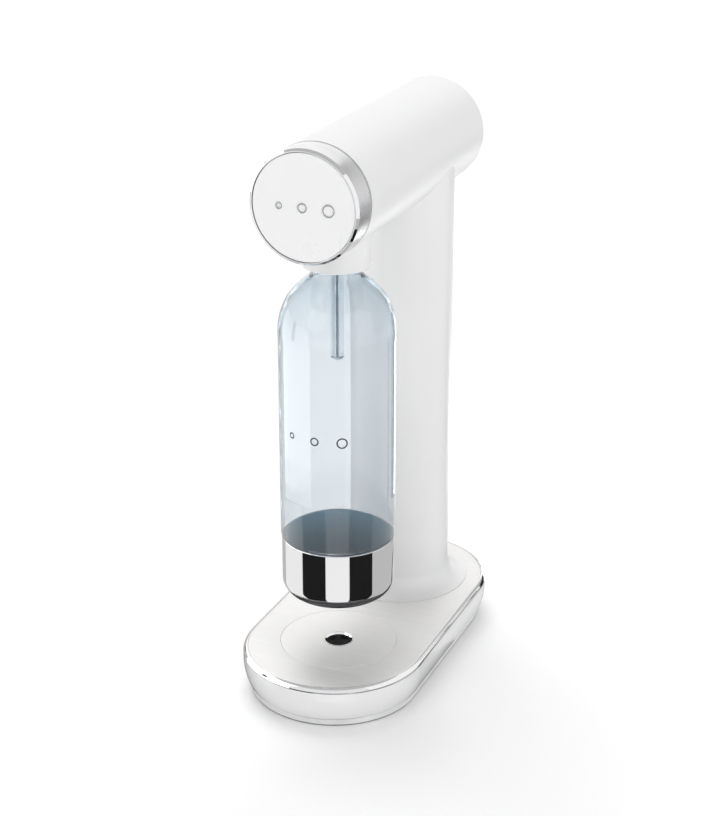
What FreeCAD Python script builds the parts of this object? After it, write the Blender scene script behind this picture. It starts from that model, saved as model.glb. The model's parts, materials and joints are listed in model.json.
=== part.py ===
import FreeCAD, Part
import math
import os

# Soda carbonator: a stadium-shaped base, a round column at the rear that holds a gas
# cylinder, and a horizontal arm whose front end is a turning knob. A bottle hangs under the
# arm. The origin is on the floor, under the middle of the whole machine. +Z is up, -Y is the
# knob side, and every size is in millimetres. Heights in the functions below are measured from
# a datum FOOT_DROP above the floor, and the finished parts are lifted by that much.

V = FreeCAD.Vector
X_AXIS, Y_AXIS, Z_AXIS = V(1, 0, 0), V(0, 1, 0), V(0, 0, 1)

# ---- driving dimensions ----
GAP = 0.4                      # between pieces that move past each other
FIT = 0.05                     # radial clearance of a shaft in its bore

BASE_R = 69.1                  # half width of the base
BASE_CENTRE = 64.1             # the base's two round ends are centred at y = +/- this
FOOT_DROP = 4.2                # from the height datum down to the floor
FOOT_R = 63.5
FOOT_STEP = 1.9                # top of the foot's visible band
FOOT_COLLAR_R = 61.9           # upper part of the foot, inside the skirt
FOOT_TOP = 4.0
FOOT_BORE_R = 56.0
COVER_SEAT_R = 59.5            # step in the foot that the underside cover sits in
COVER_BOTTOM = 2.0
SHELL_BOTTOM = 2.4
SHELL_BOTTOM_R = 65.0
SHELL_BOW = (68.2, 11.5)       # a point on the skirt's curve
SHELL_SIDE = 21.5              # where the curve ends and the upright side starts
DECK_BOTTOM = 23.4
SHELL_TOP = 25.4
SHELL_WALL = 2.6
PLATE_BOTTOM = 27.65
PLATE_TOP = 29.5
PLATE_R = 65.6
TRIM_TOP_R = 66.0
TRIM_INNER_R = 61.0
DISC_R = 43.7                  # round drip disc under the bottle
DISC_BOTTOM = 28.65
DRAIN_R = 9.6
DRAIN_RIM_R = 10.7
DRAIN_WELL_R = 16.5            # room for the drip cup in the deck
CYLINDER_WELL_R = 36.2         # room for the gas cylinder in the deck
BALLAST_R = 56.0
BALLAST_TOP = 11.0
CUP_RIM = 27.4                 # top of the drip cup under the drain

COLUMN_Y = 63.5                # column and gas cylinder axis
COLUMN_R = 38.6
COLUMN_WALL = 2.2
FLARE_R = 54.3
FLARE_ARC = 15.6
COVER_HALF_ANGLE = 70.0
COVER_TOP = 337.0

BOTTLE_Y = -57.7               # bottle, collar and drain hole axis
ARM_Z = 380.2                  # axis of the arm, the knob and its shaft
ARM_R = 40.2
ARM_WALL = 2.5
ARM_FRONT = -89.8
ARM_BACK = 130.4
ARM_EDGE = 6.0                 # rounding of the arm's back edge
END_CAP_R = 33.0

KNOB_FRONT = -112.6
KNOB_BACK = -91.2
KNOB_R = 39.9
BEVEL_BACK = -110.4
FACE_R = 37.2
FACE_FRONT = -112.2
FACE_BACK = -109.7
SHAFT_R = 4.0

COLLAR_R = 24.6
COLLAR_BOTTOM = 325.0
COLLAR_EDGE = 3.0
RING_OUTER = 20.6              # bottle lock ring
RING_INNER = 17.1
NECK_R = 16.7
MOUTH_TOP = 346.0
BOTTLE_R = 41.9
BOTTLE_WALL = 1.6
BOTTLE_FLOOR = 78.5
CUP_R = 41.4
CUP_BOTTOM = 72.9
CUP_TOP = 118.8
CUP_WALL = 0.9
CUP_FILLET = 8.5
NOZZLE_R = 4.6
NOZZLE_TIP = 256.5

CYLINDER_R = 30.0
CYLINDER_BOTTOM = 32.0
STUD_R = 10.4                  # threaded stud on the cylinder valve
STUD_TOP = 372.0

CHASSIS_Z = 357.0
CHASSIS_T = 3.0
CHASSIS_TOP = CHASSIS_Z + CHASSIS_T

HEAD_R = 17.5
HEAD_FLANGE_R = 24.0
PIPE_X, PIPE_Z = 12.0, 367.0   # gas pipe's line along the arm
RELIEF_X = -12.0

# Lever that turns the cam's lift into a push on the cylinder's valve.
LEVER_Y, LEVER_Z = 38.0, 396.0
CAM_Y = 14.0                   # where the lever's front pad meets the cam
PAD_R = 4.0
KNOB_TURN = 60.0               # degrees from rest to fully open
VALVE_PRESS = 2.1              # how far the valve pin is pushed in
PLUNGER_TOP = 392.0
PAD_GAP = 0.3


# ---- helpers ----
def wire(points, place):
    """Closed wire through (a, b) points.

    A point with a third value is the middle of an arc: "arc" for a circle, or "bow" for the
    same curve as a spline, for an arc so wide that its circle would cross the turning axis.
    """
    edges = []
    last = points[0]
    via = None
    for point in points[1:] + points[:1]:
        if len(point) == 3:
            via = point
            continue
        if via:
            curve = Part.Arc(place(last), place(via), place(point))
            edges.append((curve.toBSpline() if via[2] == "bow" else curve).toShape())
        else:
            edges.append(Part.LineSegment(place(last), place(point)).toShape())
        last, via = point, None
    return Part.Wire(edges)


def turned(points, y=0.0):
    """Solid turned about a vertical axis at (0, y) from a closed (radius, z) outline."""
    face = Part.Face(wire(points, lambda p: V(p[0], y, p[1])))
    return face.revolve(V(0, y, 0), Z_AXIS, 360)


def turned_arm(points):
    """Solid turned about the arm's axis from a closed (radius, y) outline."""
    face = Part.Face(wire(points, lambda p: V(p[0], p[1], ARM_Z)))
    return face.revolve(V(0, 0, ARM_Z), Y_AXIS, 360)


def rod(radius, z0, z1, y=0.0, x=0.0):
    return Part.makeCylinder(radius, z1 - z0, V(x, y, z0))


def tube(outer, inner, z0, z1, y=0.0):
    return rod(outer, z0, z1, y).cut(rod(inner, z0 - 1, z1 + 1, y))


def arm_rod(radius, y0, y1, x=0.0, z=ARM_Z):
    return Part.makeCylinder(radius, y1 - y0, V(x, y0, z), Y_AXIS)


def cross_rod(radius, half, y, z):
    """Rod along X, centred on the machine's middle plane."""
    return Part.makeCylinder(radius, 2 * half, V(-half, y, z), X_AXIS)


def block(x, y, z):
    """Box from three (low, high) pairs."""
    return Part.makeBox(x[1] - x[0], y[1] - y[0], z[1] - z[0], V(x[0], y[0], z[0]))


def fused(shapes):
    result = shapes[0]
    for shape in shapes[1:]:
        result = result.fuse(shape)
    return result.removeSplitter()


def stadium(outline):
    """Solid whose (reach, z) outline, from reach 0 outwards, runs round the base's stadium."""
    ends = [turned(outline, y) for y in (-BASE_CENTRE, BASE_CENTRE)]
    sides = []
    for side in (-1, 1):
        face = Part.Face(wire(outline, lambda p: V(side * p[0], -BASE_CENTRE, p[1])))
        sides.append(face.extrude(V(0, 2 * BASE_CENTRE, 0)))
    return fused(ends + sides)


def slab(reach, z0, z1):
    return stadium([(0, z0), (reach, z0), (reach, z1), (0, z1)])


def coil(radius, wire_r, z0, z1, turns):
    """Helical spring standing on z0, round the origin's vertical."""
    height = z1 - z0 - 2 * wire_r
    helix = Part.makeHelix(height / turns, height, radius)
    ring = Part.Wire(Part.makeCircle(wire_r, V(radius, 0, 0), Y_AXIS))
    spring = Part.Wire(helix.Edges).makePipeShell([ring], True, True)
    spring.translate(V(0, 0, z0 + wire_r))
    return spring


def rear_wedge(half_angle, z0, z1, reach=90.0):
    """Wedge of space behind the column axis, open towards +Y."""
    a = math.radians(half_angle)
    corner = V(reach * math.sin(a), COLUMN_Y + reach * math.cos(a), z0)
    mirror = V(-corner.x, corner.y, z0)
    far = COLUMN_Y + reach
    points = [V(0, COLUMN_Y, z0), corner, V(corner.x, far, z0), V(mirror.x, far, z0), mirror]
    return Part.Face(Part.makePolygon(points + points[:1])).extrude(V(0, 0, z1 - z0))


# ---- base ----
BOSSES = [(x, y) for x in (-46.0, 46.0) for y in (-84.0, -14.0, 14.0)] + [(-30.0, 104.0), (30.0, 104.0)]
BOSS_R = 4.4
SCREW_R = 1.55
SCREW_HEAD_R = 3.4


def base_shell():
    """Glossy skirt with a deck on top, curved inwards towards the floor."""
    bow_r, bow_z = SHELL_BOW
    outer = stadium([(0, SHELL_BOTTOM), (SHELL_BOTTOM_R, SHELL_BOTTOM), (bow_r, bow_z, "arc"),
                     (BASE_R, SHELL_SIDE), (BASE_R, SHELL_TOP), (0, SHELL_TOP)])
    inner_low = SHELL_BOTTOM_R - SHELL_WALL
    inner_high = BASE_R - SHELL_WALL
    hollow = stadium([(0, SHELL_BOTTOM - 1), (inner_low, SHELL_BOTTOM - 1), (inner_low, SHELL_BOTTOM),
                      (bow_r - SHELL_WALL, bow_z, "arc"), (inner_high, SHELL_SIDE),
                      (inner_high, DECK_BOTTOM), (0, DECK_BOTTOM)])
    shell = outer.cut(hollow)
    shell = shell.cut(rod(DRAIN_WELL_R, DECK_BOTTOM - 3, SHELL_TOP + 3, BOTTLE_Y))
    shell = shell.cut(rod(CYLINDER_WELL_R, DECK_BOTTOM - 3, SHELL_TOP + 3, COLUMN_Y))
    screw_depth = 16.0
    bosses = []
    for x, y in BOSSES:
        boss = rod(BOSS_R, FOOT_TOP + 0.5, DECK_BOTTOM + 0.6, y, x)
        bosses.append(boss.cut(rod(SCREW_R + FIT, 0, screw_depth, y, x)))
    return fused([shell] + bosses)


def foot_ring():
    """Foot moulding that the machine stands on, a little inside the skirt."""
    ring = fused([slab(FOOT_R, -FOOT_DROP, FOOT_STEP), slab(FOOT_COLLAR_R, FOOT_STEP, FOOT_TOP)])
    ring = ring.cut(slab(FOOT_BORE_R, -FOOT_DROP - 1, FOOT_TOP))
    return ring.cut(slab(COVER_SEAT_R, COVER_BOTTOM, FOOT_TOP + 1))


def base_cover():
    """Plate that closes the base from below."""
    cover = slab(COVER_SEAT_R - 0.2, COVER_BOTTOM + FIT, FOOT_TOP + 0.2)
    for x, y in BOSSES:
        cover = cover.cut(rod(SCREW_R + 0.35, 0, 10, y, x))
    return cover


def base_screws():
    """Slotted screws that hold the cover to the skirt's bosses."""
    head_bottom = 0.4
    slot_top = 1.2
    screws = []
    for x, y in BOSSES:
        head = rod(SCREW_HEAD_R, head_bottom, COVER_BOTTOM, y, x)
        head = head.cut(block((x - 2.4, x + 2.4), (y - 0.5, y + 0.5), (0, slot_top)))
        screws.append(fused([head, rod(SCREW_R, COVER_BOTTOM - 0.2, 15, y, x)]))
    return Part.makeCompound(screws)


def ballast_plate():
    """Steel weight low in the base, which keeps the machine from tipping."""
    plate = slab(BALLAST_R, FOOT_TOP + 0.6, BALLAST_TOP)
    plate = plate.cut(rod(DRAIN_WELL_R + 1, 0, 20, BOTTLE_Y)).cut(rod(CYLINDER_WELL_R + 0.8, 0, 20, COLUMN_Y))
    for x, y in BOSSES:
        plate = plate.cut(rod(BOSS_R + 1, 0, 20, y, x))
    return plate


def edge_trim():
    """Polished frame round the top plate, with a sloping outer edge."""
    bottom = SHELL_TOP + 0.1
    top = PLATE_TOP + 0.1
    ring = stadium([(0, bottom), (BASE_R, bottom), (BASE_R, bottom + 0.5), (BASE_R - 1.2, 28.35, "arc"),
                    (TRIM_TOP_R, top), (0, top)])
    ring = ring.cut(slab(TRIM_INNER_R, bottom - 5, top + 5))
    return ring.cut(slab(PLATE_R + 0.1, PLATE_BOTTOM - FIT, top + 5))


def top_plate():
    """Brushed plate with a round seat for the drip disc and a hole for the column."""
    plate = slab(PLATE_R, PLATE_BOTTOM, PLATE_TOP)
    plate = plate.cut(rod(DRAIN_RIM_R + 0.2, PLATE_BOTTOM - 5, PLATE_TOP + 5, BOTTLE_Y))
    plate = plate.cut(rod(DISC_R + 0.1, DISC_BOTTOM - FIT, PLATE_TOP + 5, BOTTLE_Y))
    return plate.cut(rod(CYLINDER_WELL_R + 0.2, PLATE_BOTTOM - 5, PLATE_TOP + 5, COLUMN_Y))


def drip_disc():
    """Round plate let into the top plate under the bottle, sloping to the drain hole."""
    hole = DRAIN_RIM_R + 0.2
    low = PLATE_TOP - 0.3
    return turned([(hole, DISC_BOTTOM), (DISC_R, DISC_BOTTOM), (DISC_R, PLATE_TOP),
                   (DISC_R - 0.8, PLATE_TOP), (hole + 0.3, low), (hole, low)], BOTTLE_Y)


def hole_rim():
    """Polished sleeve that lines the drain hole."""
    bottom = DECK_BOTTOM + 0.4
    return turned([(DRAIN_R, bottom), (DRAIN_RIM_R, bottom), (DRAIN_RIM_R, PLATE_TOP - 0.2),
                   (DRAIN_RIM_R - 0.3, PLATE_TOP), (DRAIN_R + 0.3, PLATE_TOP),
                   (DRAIN_R, PLATE_TOP - 0.4)], BOTTLE_Y)


def drip_cup():
    """Small cup under the drain hole that catches drops."""
    floor = FOOT_TOP + 0.8
    outer = DRAIN_WELL_R - 0.5
    inner = outer - 2.2
    return turned([(0, floor), (outer - 1.5, floor), (outer, floor + 1.7), (outer, CUP_RIM),
                   (inner, CUP_RIM), (inner, floor + 2.7), (0, floor + 1.7)], BOTTLE_Y)


def cylinder_cradle():
    """Cup that centres the foot of the gas cylinder."""
    floor = FOOT_TOP + 0.6
    outer = CYLINDER_WELL_R - 1.2
    rim = 44.0
    seat = CYLINDER_BOTTOM - 0.3
    core = 24.0
    cradle = turned([(0, floor), (outer, floor), (outer, rim), (outer - 2, rim), (CYLINDER_R + GAP, rim - 4),
                     (CYLINDER_R + GAP, seat), (core, seat), (core, floor + 2.4), (0, floor + 2.4)], COLUMN_Y)
    return cradle.cut(rear_wedge(60.0, seat, rim + 16))


# ---- column ----
def column_skin(outer_extra=0.0):
    """Solid envelope of the column with its flared foot, up to inside the arm."""
    r = COLUMN_R + outer_extra
    foot = PLATE_TOP + 0.55
    bend = FLARE_ARC * (1 - math.cos(math.radians(45)))
    return turned([(0, PLATE_TOP + 0.05), (FLARE_R, PLATE_TOP + 0.05), (FLARE_R, foot),
                   (r + bend, foot + bend, "arc"), (r, foot + FLARE_ARC), (r, ARM_Z),
                   (0, ARM_Z)], COLUMN_Y)


def column_hollow():
    return rod(COLUMN_R - COLUMN_WALL, 0, ARM_Z + 1, COLUMN_Y)


def arm_envelope(clear=0.0):
    return arm_rod(ARM_R + clear, -200, 200)


def column_shell():
    """White column with its flared foot; the rear is open for the gas cylinder."""
    shell = column_skin().cut(column_hollow()).cut(arm_envelope(0.05))
    return shell.cut(rear_wedge(COVER_HALF_ANGLE, 0, COVER_TOP))


def rear_cover():
    """Panel that closes the column's rear opening and pulls off backwards."""
    panel = column_skin().cut(column_hollow())
    panel = panel.common(rear_wedge(COVER_HALF_ANGLE - 0.7, PLATE_TOP + GAP, COVER_TOP - GAP))
    tabs = []
    for z in (70.0, 290.0):
        for side in (-1, 1):
            x = sorted((side * 31.9, side * 33.4))
            tab = block(x, (66.0, 82.0), (z - 6, z + 6))
            tabs.append(tab.common(rod(COLUMN_R - 1.0, 0, 400, COLUMN_Y)))
    return fused([panel] + tabs)


def cover_clips():
    """Four catches inside the column that grip the rear cover's tabs."""
    inside = rod(COLUMN_R - COLUMN_WALL - 0.02, 0, 400, COLUMN_Y)
    clips = []
    for z in (70.0, 290.0):
        for side in (-1, 1):
            x = sorted((side * 33.9, side * 36.4))
            clips.append(block(x, (60.0, 70.5), (z - 5, z + 5)).common(inside))
    return Part.makeCompound(clips)


def column_frame():
    """Curved steel spine at the front of the column, which carries the arm."""
    shell = tube(35.7, 33.4, SHELL_TOP + 0.1, CHASSIS_Z - 0.1, COLUMN_Y)
    front = rear_wedge(125.0, 0, 400, 60.0)
    cradle = rod(35.3, 0, 44.4, COLUMN_Y)
    return shell.cut(front).cut(cradle)


# ---- gas cylinder ----
def gas_cylinder():
    """Aluminium gas bottle with a domed shoulder and a plain neck."""
    wall = 3.0
    inner = CYLINDER_R - wall
    return turned([(0, CYLINDER_BOTTOM + 2), (20, CYLINDER_BOTTOM + 1), (24, CYLINDER_BOTTOM),
                   (27, CYLINDER_BOTTOM), (29.2, CYLINDER_BOTTOM + 0.9, "arc"),
                   (CYLINDER_R, CYLINDER_BOTTOM + 3), (CYLINDER_R, 304), (26.6, 320, "arc"),
                   (14, 333), (14, 345), (8.2, 345), (8.2, 333), (inner - 3.6, 317, "arc"),
                   (inner, 304), (inner, CYLINDER_BOTTOM + 6), (0, CYLINDER_BOTTOM + 6)], COLUMN_Y)


def cylinder_valve():
    """Brass valve in the cylinder's neck, with the stud that screws into the machine."""
    body = turned([(0, 334), (8.0, 334), (8.0, 345.1), (12.5, 345.1), (12.5, 353), (9.4, 354.4),
                   (9.4, 357.5), (STUD_R, 358.5), (STUD_R, STUD_TOP - 0.8),
                   (STUD_R - 0.8, STUD_TOP), (0, STUD_TOP)], COLUMN_Y)
    return body.cut(rod(1.5 + FIT, 359.5, 380, COLUMN_Y))


def valve_pin():
    return turned([(0, 363), (1.2, 363), (1.5, 363.4), (1.5, 374.5), (1.1, 374.9), (0, 374.9)],
                  COLUMN_Y)


def valve_housing():
    """Block in the arm that the cylinder screws up into; gas leaves it at the front."""
    body = fused([rod(17.0, 355.0, 384.0, COLUMN_Y), rod(22.0, CHASSIS_TOP, 363.5, COLUMN_Y)])
    body = body.cut(rod(STUD_R + GAP, 340, 374.2, COLUMN_Y))
    body = body.cut(rod(6.0, 370, 379.0, COLUMN_Y)).cut(rod(2.0 + FIT, 370, 390, COLUMN_Y))
    return body.cut(arm_rod(1.5, 40, COLUMN_Y, PIPE_X, PIPE_Z))


def housing_seal():
    """Flat washer that the cylinder's stud presses on."""
    return tube(10.4, 6.3, 372.5, 374.1, COLUMN_Y)


def plunger():
    """Push rod between the lever and the cylinder's valve pin."""
    return turned([(0, 375.2), (2.0, 375.2), (2.0, 389.9), (4.2, 389.9), (4.2, PLUNGER_TOP),
                   (0, PLUNGER_TOP)], COLUMN_Y)


def plunger_spring():
    spring = coil(3.1, 0.4, 384.1, 389.8, 3)
    spring.translate(V(0, COLUMN_Y, 0))
    return spring


# ---- lever and cam ----
def valve_lever():
    """Rocker on a cross pin: the cam lifts its front pad, its rear pad pushes the plunger."""
    arm = block((-4, 4), (CAM_Y, COLUMN_Y), (LEVER_Z - 2.8, LEVER_Z + 3.4))
    rear_z = PLUNGER_TOP + PAD_GAP + PAD_R
    pads = [cross_rod(PAD_R, 4, CAM_Y, LEVER_Z), cross_rod(PAD_R, 4, COLUMN_Y, rear_z)]
    lever = fused([arm] + pads + [cross_rod(5.6, 4, LEVER_Y, LEVER_Z)])
    return lever.cut(cross_rod(2.5 + FIT, 10, LEVER_Y, LEVER_Z))


def lever_pin():
    return cross_rod(2.5, 8.2, LEVER_Y, LEVER_Z)


def lever_bracket():
    """Two ears on a foot plate that carry the lever's pin."""
    ears = []
    for side in (-1, 1):
        x = sorted((side * (4 + GAP), side * 7.6))
        ear = block(x, (LEVER_Y - 7, LEVER_Y + 2.4), (CHASSIS_TOP, LEVER_Z))
        cap = Part.makeCylinder(6.0, x[1] - x[0], V(x[0], LEVER_Y, LEVER_Z), X_AXIS)
        ears.append(ear.fuse(cap))
    foot = block((-7.6, 7.6), (LEVER_Y - 20, LEVER_Y + 2.4), (CHASSIS_TOP, CHASSIS_TOP + 3))
    return fused(ears + [foot]).cut(cross_rod(2.52, 10, LEVER_Y, LEVER_Z))


def cam():
    """Plate cam whose radius grows evenly, so lift follows the knob's angle; hub behind it."""
    arm_ratio = (LEVER_Y - CAM_Y) / (COLUMN_Y - LEVER_Y)
    slope = VALVE_PRESS * arm_ratio / math.radians(KNOB_TURN)
    contact = LEVER_Z - PAD_R - PAD_GAP - ARM_Z
    low = contact - slope * slope / (2 * contact)
    ramp_end = math.radians(KNOB_TURN + 18)
    steps = 13
    spiral = []
    for i in range(steps):
        turn = ramp_end * i / (steps - 1)
        radius = low + slope * turn
        spiral.append(V(-radius * math.sin(turn), 0, radius * math.cos(turn)))
    ramp = Part.BSplineCurve()
    ramp.interpolate(spiral)
    back = V(low * math.sin(math.radians(120)), 0, low * math.cos(math.radians(120)))
    far = V(-low * math.sin(math.radians(140)), 0, low * math.cos(math.radians(140)))
    heel = Part.Arc(spiral[0], back, far)
    nose = Part.LineSegment(far, spiral[-1])
    outline = Part.Wire([ramp.toShape(), nose.toShape(), heel.toShape()])
    plate = Part.Face(outline).extrude(V(0, 8, 0))
    plate.translate(V(0, CAM_Y - 4, ARM_Z))
    plate = fused([plate, arm_rod(7.5, CAM_Y + 3.5, CAM_Y + 10)])
    return plate.cut(arm_rod(SHAFT_R + 0.02, 0, 60)).cut(cross_rod(1.22, 20, CAM_Y + 7, ARM_Z))


def cam_pin():
    return cross_rod(1.2, 7.3, CAM_Y + 7, ARM_Z)


def knob_shaft():
    shaft = arm_rod(SHAFT_R, -106.0, CAM_Y + 10).cut(arm_rod(2.02, -107, -92))
    return shaft.cut(cross_rod(1.22, 20, CAM_Y + 7, ARM_Z))


def return_spring():
    """Torsion spring round the shaft that turns the knob back."""
    spring = coil(7.0, 0.8, 0.0, 14.0, 5)
    spring.rotate(V(0, 0, 0), X_AXIS, -90)
    spring.translate(V(0, -79.0, ARM_Z))
    return spring


# ---- knob ----
def knob_hub():
    """Carrier that joins the ring and the face to the shaft."""
    hub = turned_arm([(2.1, -109.6), (37.2, -109.6), (37.2, -91.5), (34.8, -91.5),
                      (34.8, -106.0), (8.0, -106.0), (8.0, -90.5), (SHAFT_R + 0.02, -90.5),
                      (SHAFT_R + 0.02, -106.1), (2.1, -106.1)])
    return hub.cut(arm_rod(4.4, -115, -107.6))


def knob_screw():
    head = arm_rod(4.0, -109.7, -107.65).cut(arm_rod(1.6, -112, -108.6))
    return fused([head, arm_rod(2.0, -108.0, -95.0)])


def knob_ring():
    """Satin steel grip ring."""
    return turned_arm([(37.3, BEVEL_BACK + 0.05), (KNOB_R, BEVEL_BACK + 0.05),
                       (KNOB_R, KNOB_BACK), (37.3, KNOB_BACK)])


def knob_bevel():
    """Polished front edge of the grip ring."""
    return turned_arm([(37.7, BEVEL_BACK), (37.7, KNOB_FRONT), (38.3, KNOB_FRONT),
                       (39.3, KNOB_FRONT + 0.7, "arc"), (KNOB_R, KNOB_FRONT + 2.0),
                       (KNOB_R, BEVEL_BACK)])


def knob_face():
    """Flat disc in the knob's front."""
    face = turned_arm([(0, FACE_BACK), (0, FACE_FRONT), (FACE_R - 0.4, FACE_FRONT),
                       (FACE_R, FACE_FRONT + 0.4), (FACE_R, FACE_BACK)])
    return face.cut(arm_rod(4.5, FACE_BACK - 1.3, FACE_BACK + 0.7))


def face_bubbles():
    """Three small raised rings, like rising bubbles."""
    rings = []
    for x, radius in ((-18.0, 2.6), (-1.0, 3.6), (18.0, 4.6)):
        ring = arm_rod(radius, FACE_FRONT - 0.6, FACE_FRONT - 0.01, x)
        ring = ring.cut(arm_rod(radius - 1.2, FACE_FRONT - 2, FACE_FRONT + 2, x))
        rings.append(ring)
    return Part.makeCompound(rings)


# ---- arm ----
def arm_shell():
    """White tube with a rounded back edge, open below for the column and the bottle head."""
    bend = ARM_EDGE * (1 - math.cos(math.radians(45)))
    inner = ARM_R - ARM_WALL
    shell = turned_arm([(inner, ARM_FRONT), (ARM_R, ARM_FRONT), (ARM_R, ARM_BACK - ARM_EDGE),
                        (ARM_R - bend, ARM_BACK - bend, "arc"), (ARM_R - ARM_EDGE, ARM_BACK),
                        (END_CAP_R + 0.3, ARM_BACK), (END_CAP_R + 0.3, ARM_BACK - ARM_WALL),
                        (inner, ARM_BACK - ARM_WALL - 3)])
    shell = shell.cut(rod(COLUMN_R - COLUMN_WALL, 320, ARM_Z, COLUMN_Y))
    return shell.cut(rod(COLLAR_R - 3.6, 320, ARM_Z, BOTTLE_Y))


def arm_end_cap():
    return turned_arm([(0, ARM_BACK - 2.2), (0, ARM_BACK), (END_CAP_R - 0.3, ARM_BACK),
                       (END_CAP_R, ARM_BACK - 0.3), (END_CAP_R, ARM_BACK - 8),
                       (END_CAP_R - 2, ARM_BACK - 8), (END_CAP_R - 2, ARM_BACK - 2.2)])


def arm_chassis():
    """Stiff plate along the arm that carries the mechanism."""
    plate = block((-28, 28), (-81.8, 108), (CHASSIS_Z, CHASSIS_TOP))
    plate = plate.cut(rod(17.1, 340, 380, COLUMN_Y)).cut(rod(HEAD_R + 0.1, 340, 380, BOTTLE_Y))
    plate = plate.cut(rod(9.0, 340, 380, -12.0)).cut(rod(6.0, 340, 380, 98.0))
    for x, y in HEAD_SCREWS:
        plate = plate.cut(rod(1.7, 340, 380, y, x))
    return plate


def front_bulkhead():
    """Disc across the arm's front that holds the knob's front bearing."""
    return arm_rod(ARM_R - ARM_WALL - 0.1, -86.0, -82.0).cut(arm_rod(8.0, -90, -80))


def shaft_bracket():
    post = block((-9, 9), (-27.0, -23.0), (CHASSIS_TOP, ARM_Z))
    foot = block((-9, 9), (-33.2, -23.0), (CHASSIS_TOP, CHASSIS_TOP + 3))
    foot = foot.cut(rod(1.7, 350, 370, -29.5))
    return fused([post, arm_rod(9.0, -27.0, -23.0), foot]).cut(arm_rod(7.0, -40, 0))


def bush_front():
    bush = fused([arm_rod(7.95, -86.0, -81.0), arm_rod(10.0, -87.5, -86.0)])
    return bush.cut(arm_rod(SHAFT_R + FIT, -100, -70))


def bush_rear():
    bush = fused([arm_rod(6.95, -28.0, -23.0), arm_rod(8.6, -23.0, -21.5)])
    return bush.cut(arm_rod(SHAFT_R + FIT, -40, 10))


# ---- carbonating head ----
def head_collar():
    """White collar under the arm that hides the bottle's neck."""
    edge = COLLAR_EDGE * (1 - math.cos(math.radians(45)))
    inner = COLLAR_R - 3.6
    collar = turned([(inner, COLLAR_BOTTOM), (COLLAR_R - COLLAR_EDGE, COLLAR_BOTTOM),
                     (COLLAR_R - edge, COLLAR_BOTTOM + edge, "arc"),
                     (COLLAR_R, COLLAR_BOTTOM + COLLAR_EDGE), (COLLAR_R, 360), (inner, 360)], BOTTLE_Y)
    return collar.cut(arm_envelope(0.05))


HEAD_SCREWS = [(20.8 * math.cos(math.radians(a)), BOTTLE_Y + 20.8 * math.sin(math.radians(a)))
               for a in (0, 120, 240)]


def head_block():
    """Block that meters gas into the nozzle, with a flange on the chassis."""
    flange = rod(HEAD_FLANGE_R, CHASSIS_TOP + 0.05, 364.0, BOTTLE_Y)
    body = fused([rod(HEAD_R, 348.2, 372.0, BOTTLE_Y), flange])
    body = body.cut(rod(NOZZLE_R + 0.05, 340, 362, BOTTLE_Y)).cut(rod(1.5, 340, PIPE_Z, BOTTLE_Y))
    body = body.cut(arm_rod(1.5, BOTTLE_Y, -30, PIPE_X, PIPE_Z))
    body = body.cut(block((0, PIPE_X), (BOTTLE_Y - 1.2, BOTTLE_Y + 1.2), (PIPE_Z - 1.2, PIPE_Z + 1.2)))
    for x, y in HEAD_SCREWS:
        body = body.cut(rod(1.7, 350, 370, y, x))
    return body.cut(rod(2.6, 367.5, 380, BOTTLE_Y, RELIEF_X))


def head_screws():
    screws = []
    for x, y in HEAD_SCREWS:
        head = rod(3.0, 364.05, 366.4, y, x).cut(rod(1.3, 365.2, 368, y, x))
        screws.append(fused([head, rod(1.6, CHASSIS_Z, 364.6, y, x)]))
    return Part.makeCompound(screws)


def bottle_seal():
    """Flat ring that the bottle's mouth presses against."""
    return tube(16.6, 10.5, MOUTH_TOP + 0.3, 348.15, BOTTLE_Y)


def nozzle_tube():
    """Clear tube that carries gas down into the water."""
    outer = turned([(0, NOZZLE_TIP), (NOZZLE_R - 0.6, NOZZLE_TIP), (NOZZLE_R, NOZZLE_TIP + 0.6),
                    (NOZZLE_R, 361.8), (0, 361.8)], BOTTLE_Y)
    return outer.cut(rod(1.0, NOZZLE_TIP - 1, 370, BOTTLE_Y))


def relief_valve():
    """Safety valve on the head block that vents if the bottle is overfilled with gas."""
    stem = rod(2.5, 368.0, 373, BOTTLE_Y, RELIEF_X)
    body = rod(5.0, 372.1, 386.0, BOTTLE_Y, RELIEF_X)
    hexagon = Part.Face(Part.makePolygon([
        V(RELIEF_X + 6.0 * math.cos(math.radians(a)), BOTTLE_Y + 6.0 * math.sin(math.radians(a)), 374)
        for a in range(0, 361, 60)])).extrude(V(0, 0, 5))
    return fused([stem, body, hexagon]).cut(rod(1.2, 380, 390, BOTTLE_Y, RELIEF_X))


def gas_pipe():
    """Metal tube that takes gas from the valve housing to the head block."""
    return arm_rod(2.4, -40.5, 48.5, PIPE_X, PIPE_Z).cut(arm_rod(1.5, -60, 60, PIPE_X, PIPE_Z))


def pipe_nuts():
    """Compression nuts at the pipe's two ends."""
    nuts = []
    for y0, y1, skin_y, skin_r in ((-46.0, -34.0, BOTTLE_Y, HEAD_R), (42.0, 54.0, COLUMN_Y, 17.0)):
        points = [V(PIPE_X + 4.6 * math.cos(math.radians(a)), y0, PIPE_Z + 4.6 * math.sin(math.radians(a)))
                  for a in range(0, 361, 60)]
        nut = Part.Face(Part.makePolygon(points)).extrude(V(0, y1 - y0, 0))
        nut = nut.cut(rod(skin_r + 0.05, 340, 390, skin_y))
        nut = nut.cut(rod(HEAD_FLANGE_R + 0.05, 350, 364.05, BOTTLE_Y)).cut(rod(22.05, 350, 363.55, COLUMN_Y))
        nut = nut.cut(arm_rod(2.45, -40.5, 48.5, PIPE_X, PIPE_Z))
        nuts.append(nut.cut(arm_rod(1.5, -60, 60, PIPE_X, PIPE_Z)))
    return Part.makeCompound(nuts)


# ---- bottle ----
LUG_ANGLES = (30, 150, 270)
LUG_REACH = 19.0
LUG_TOP = 337.0


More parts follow.
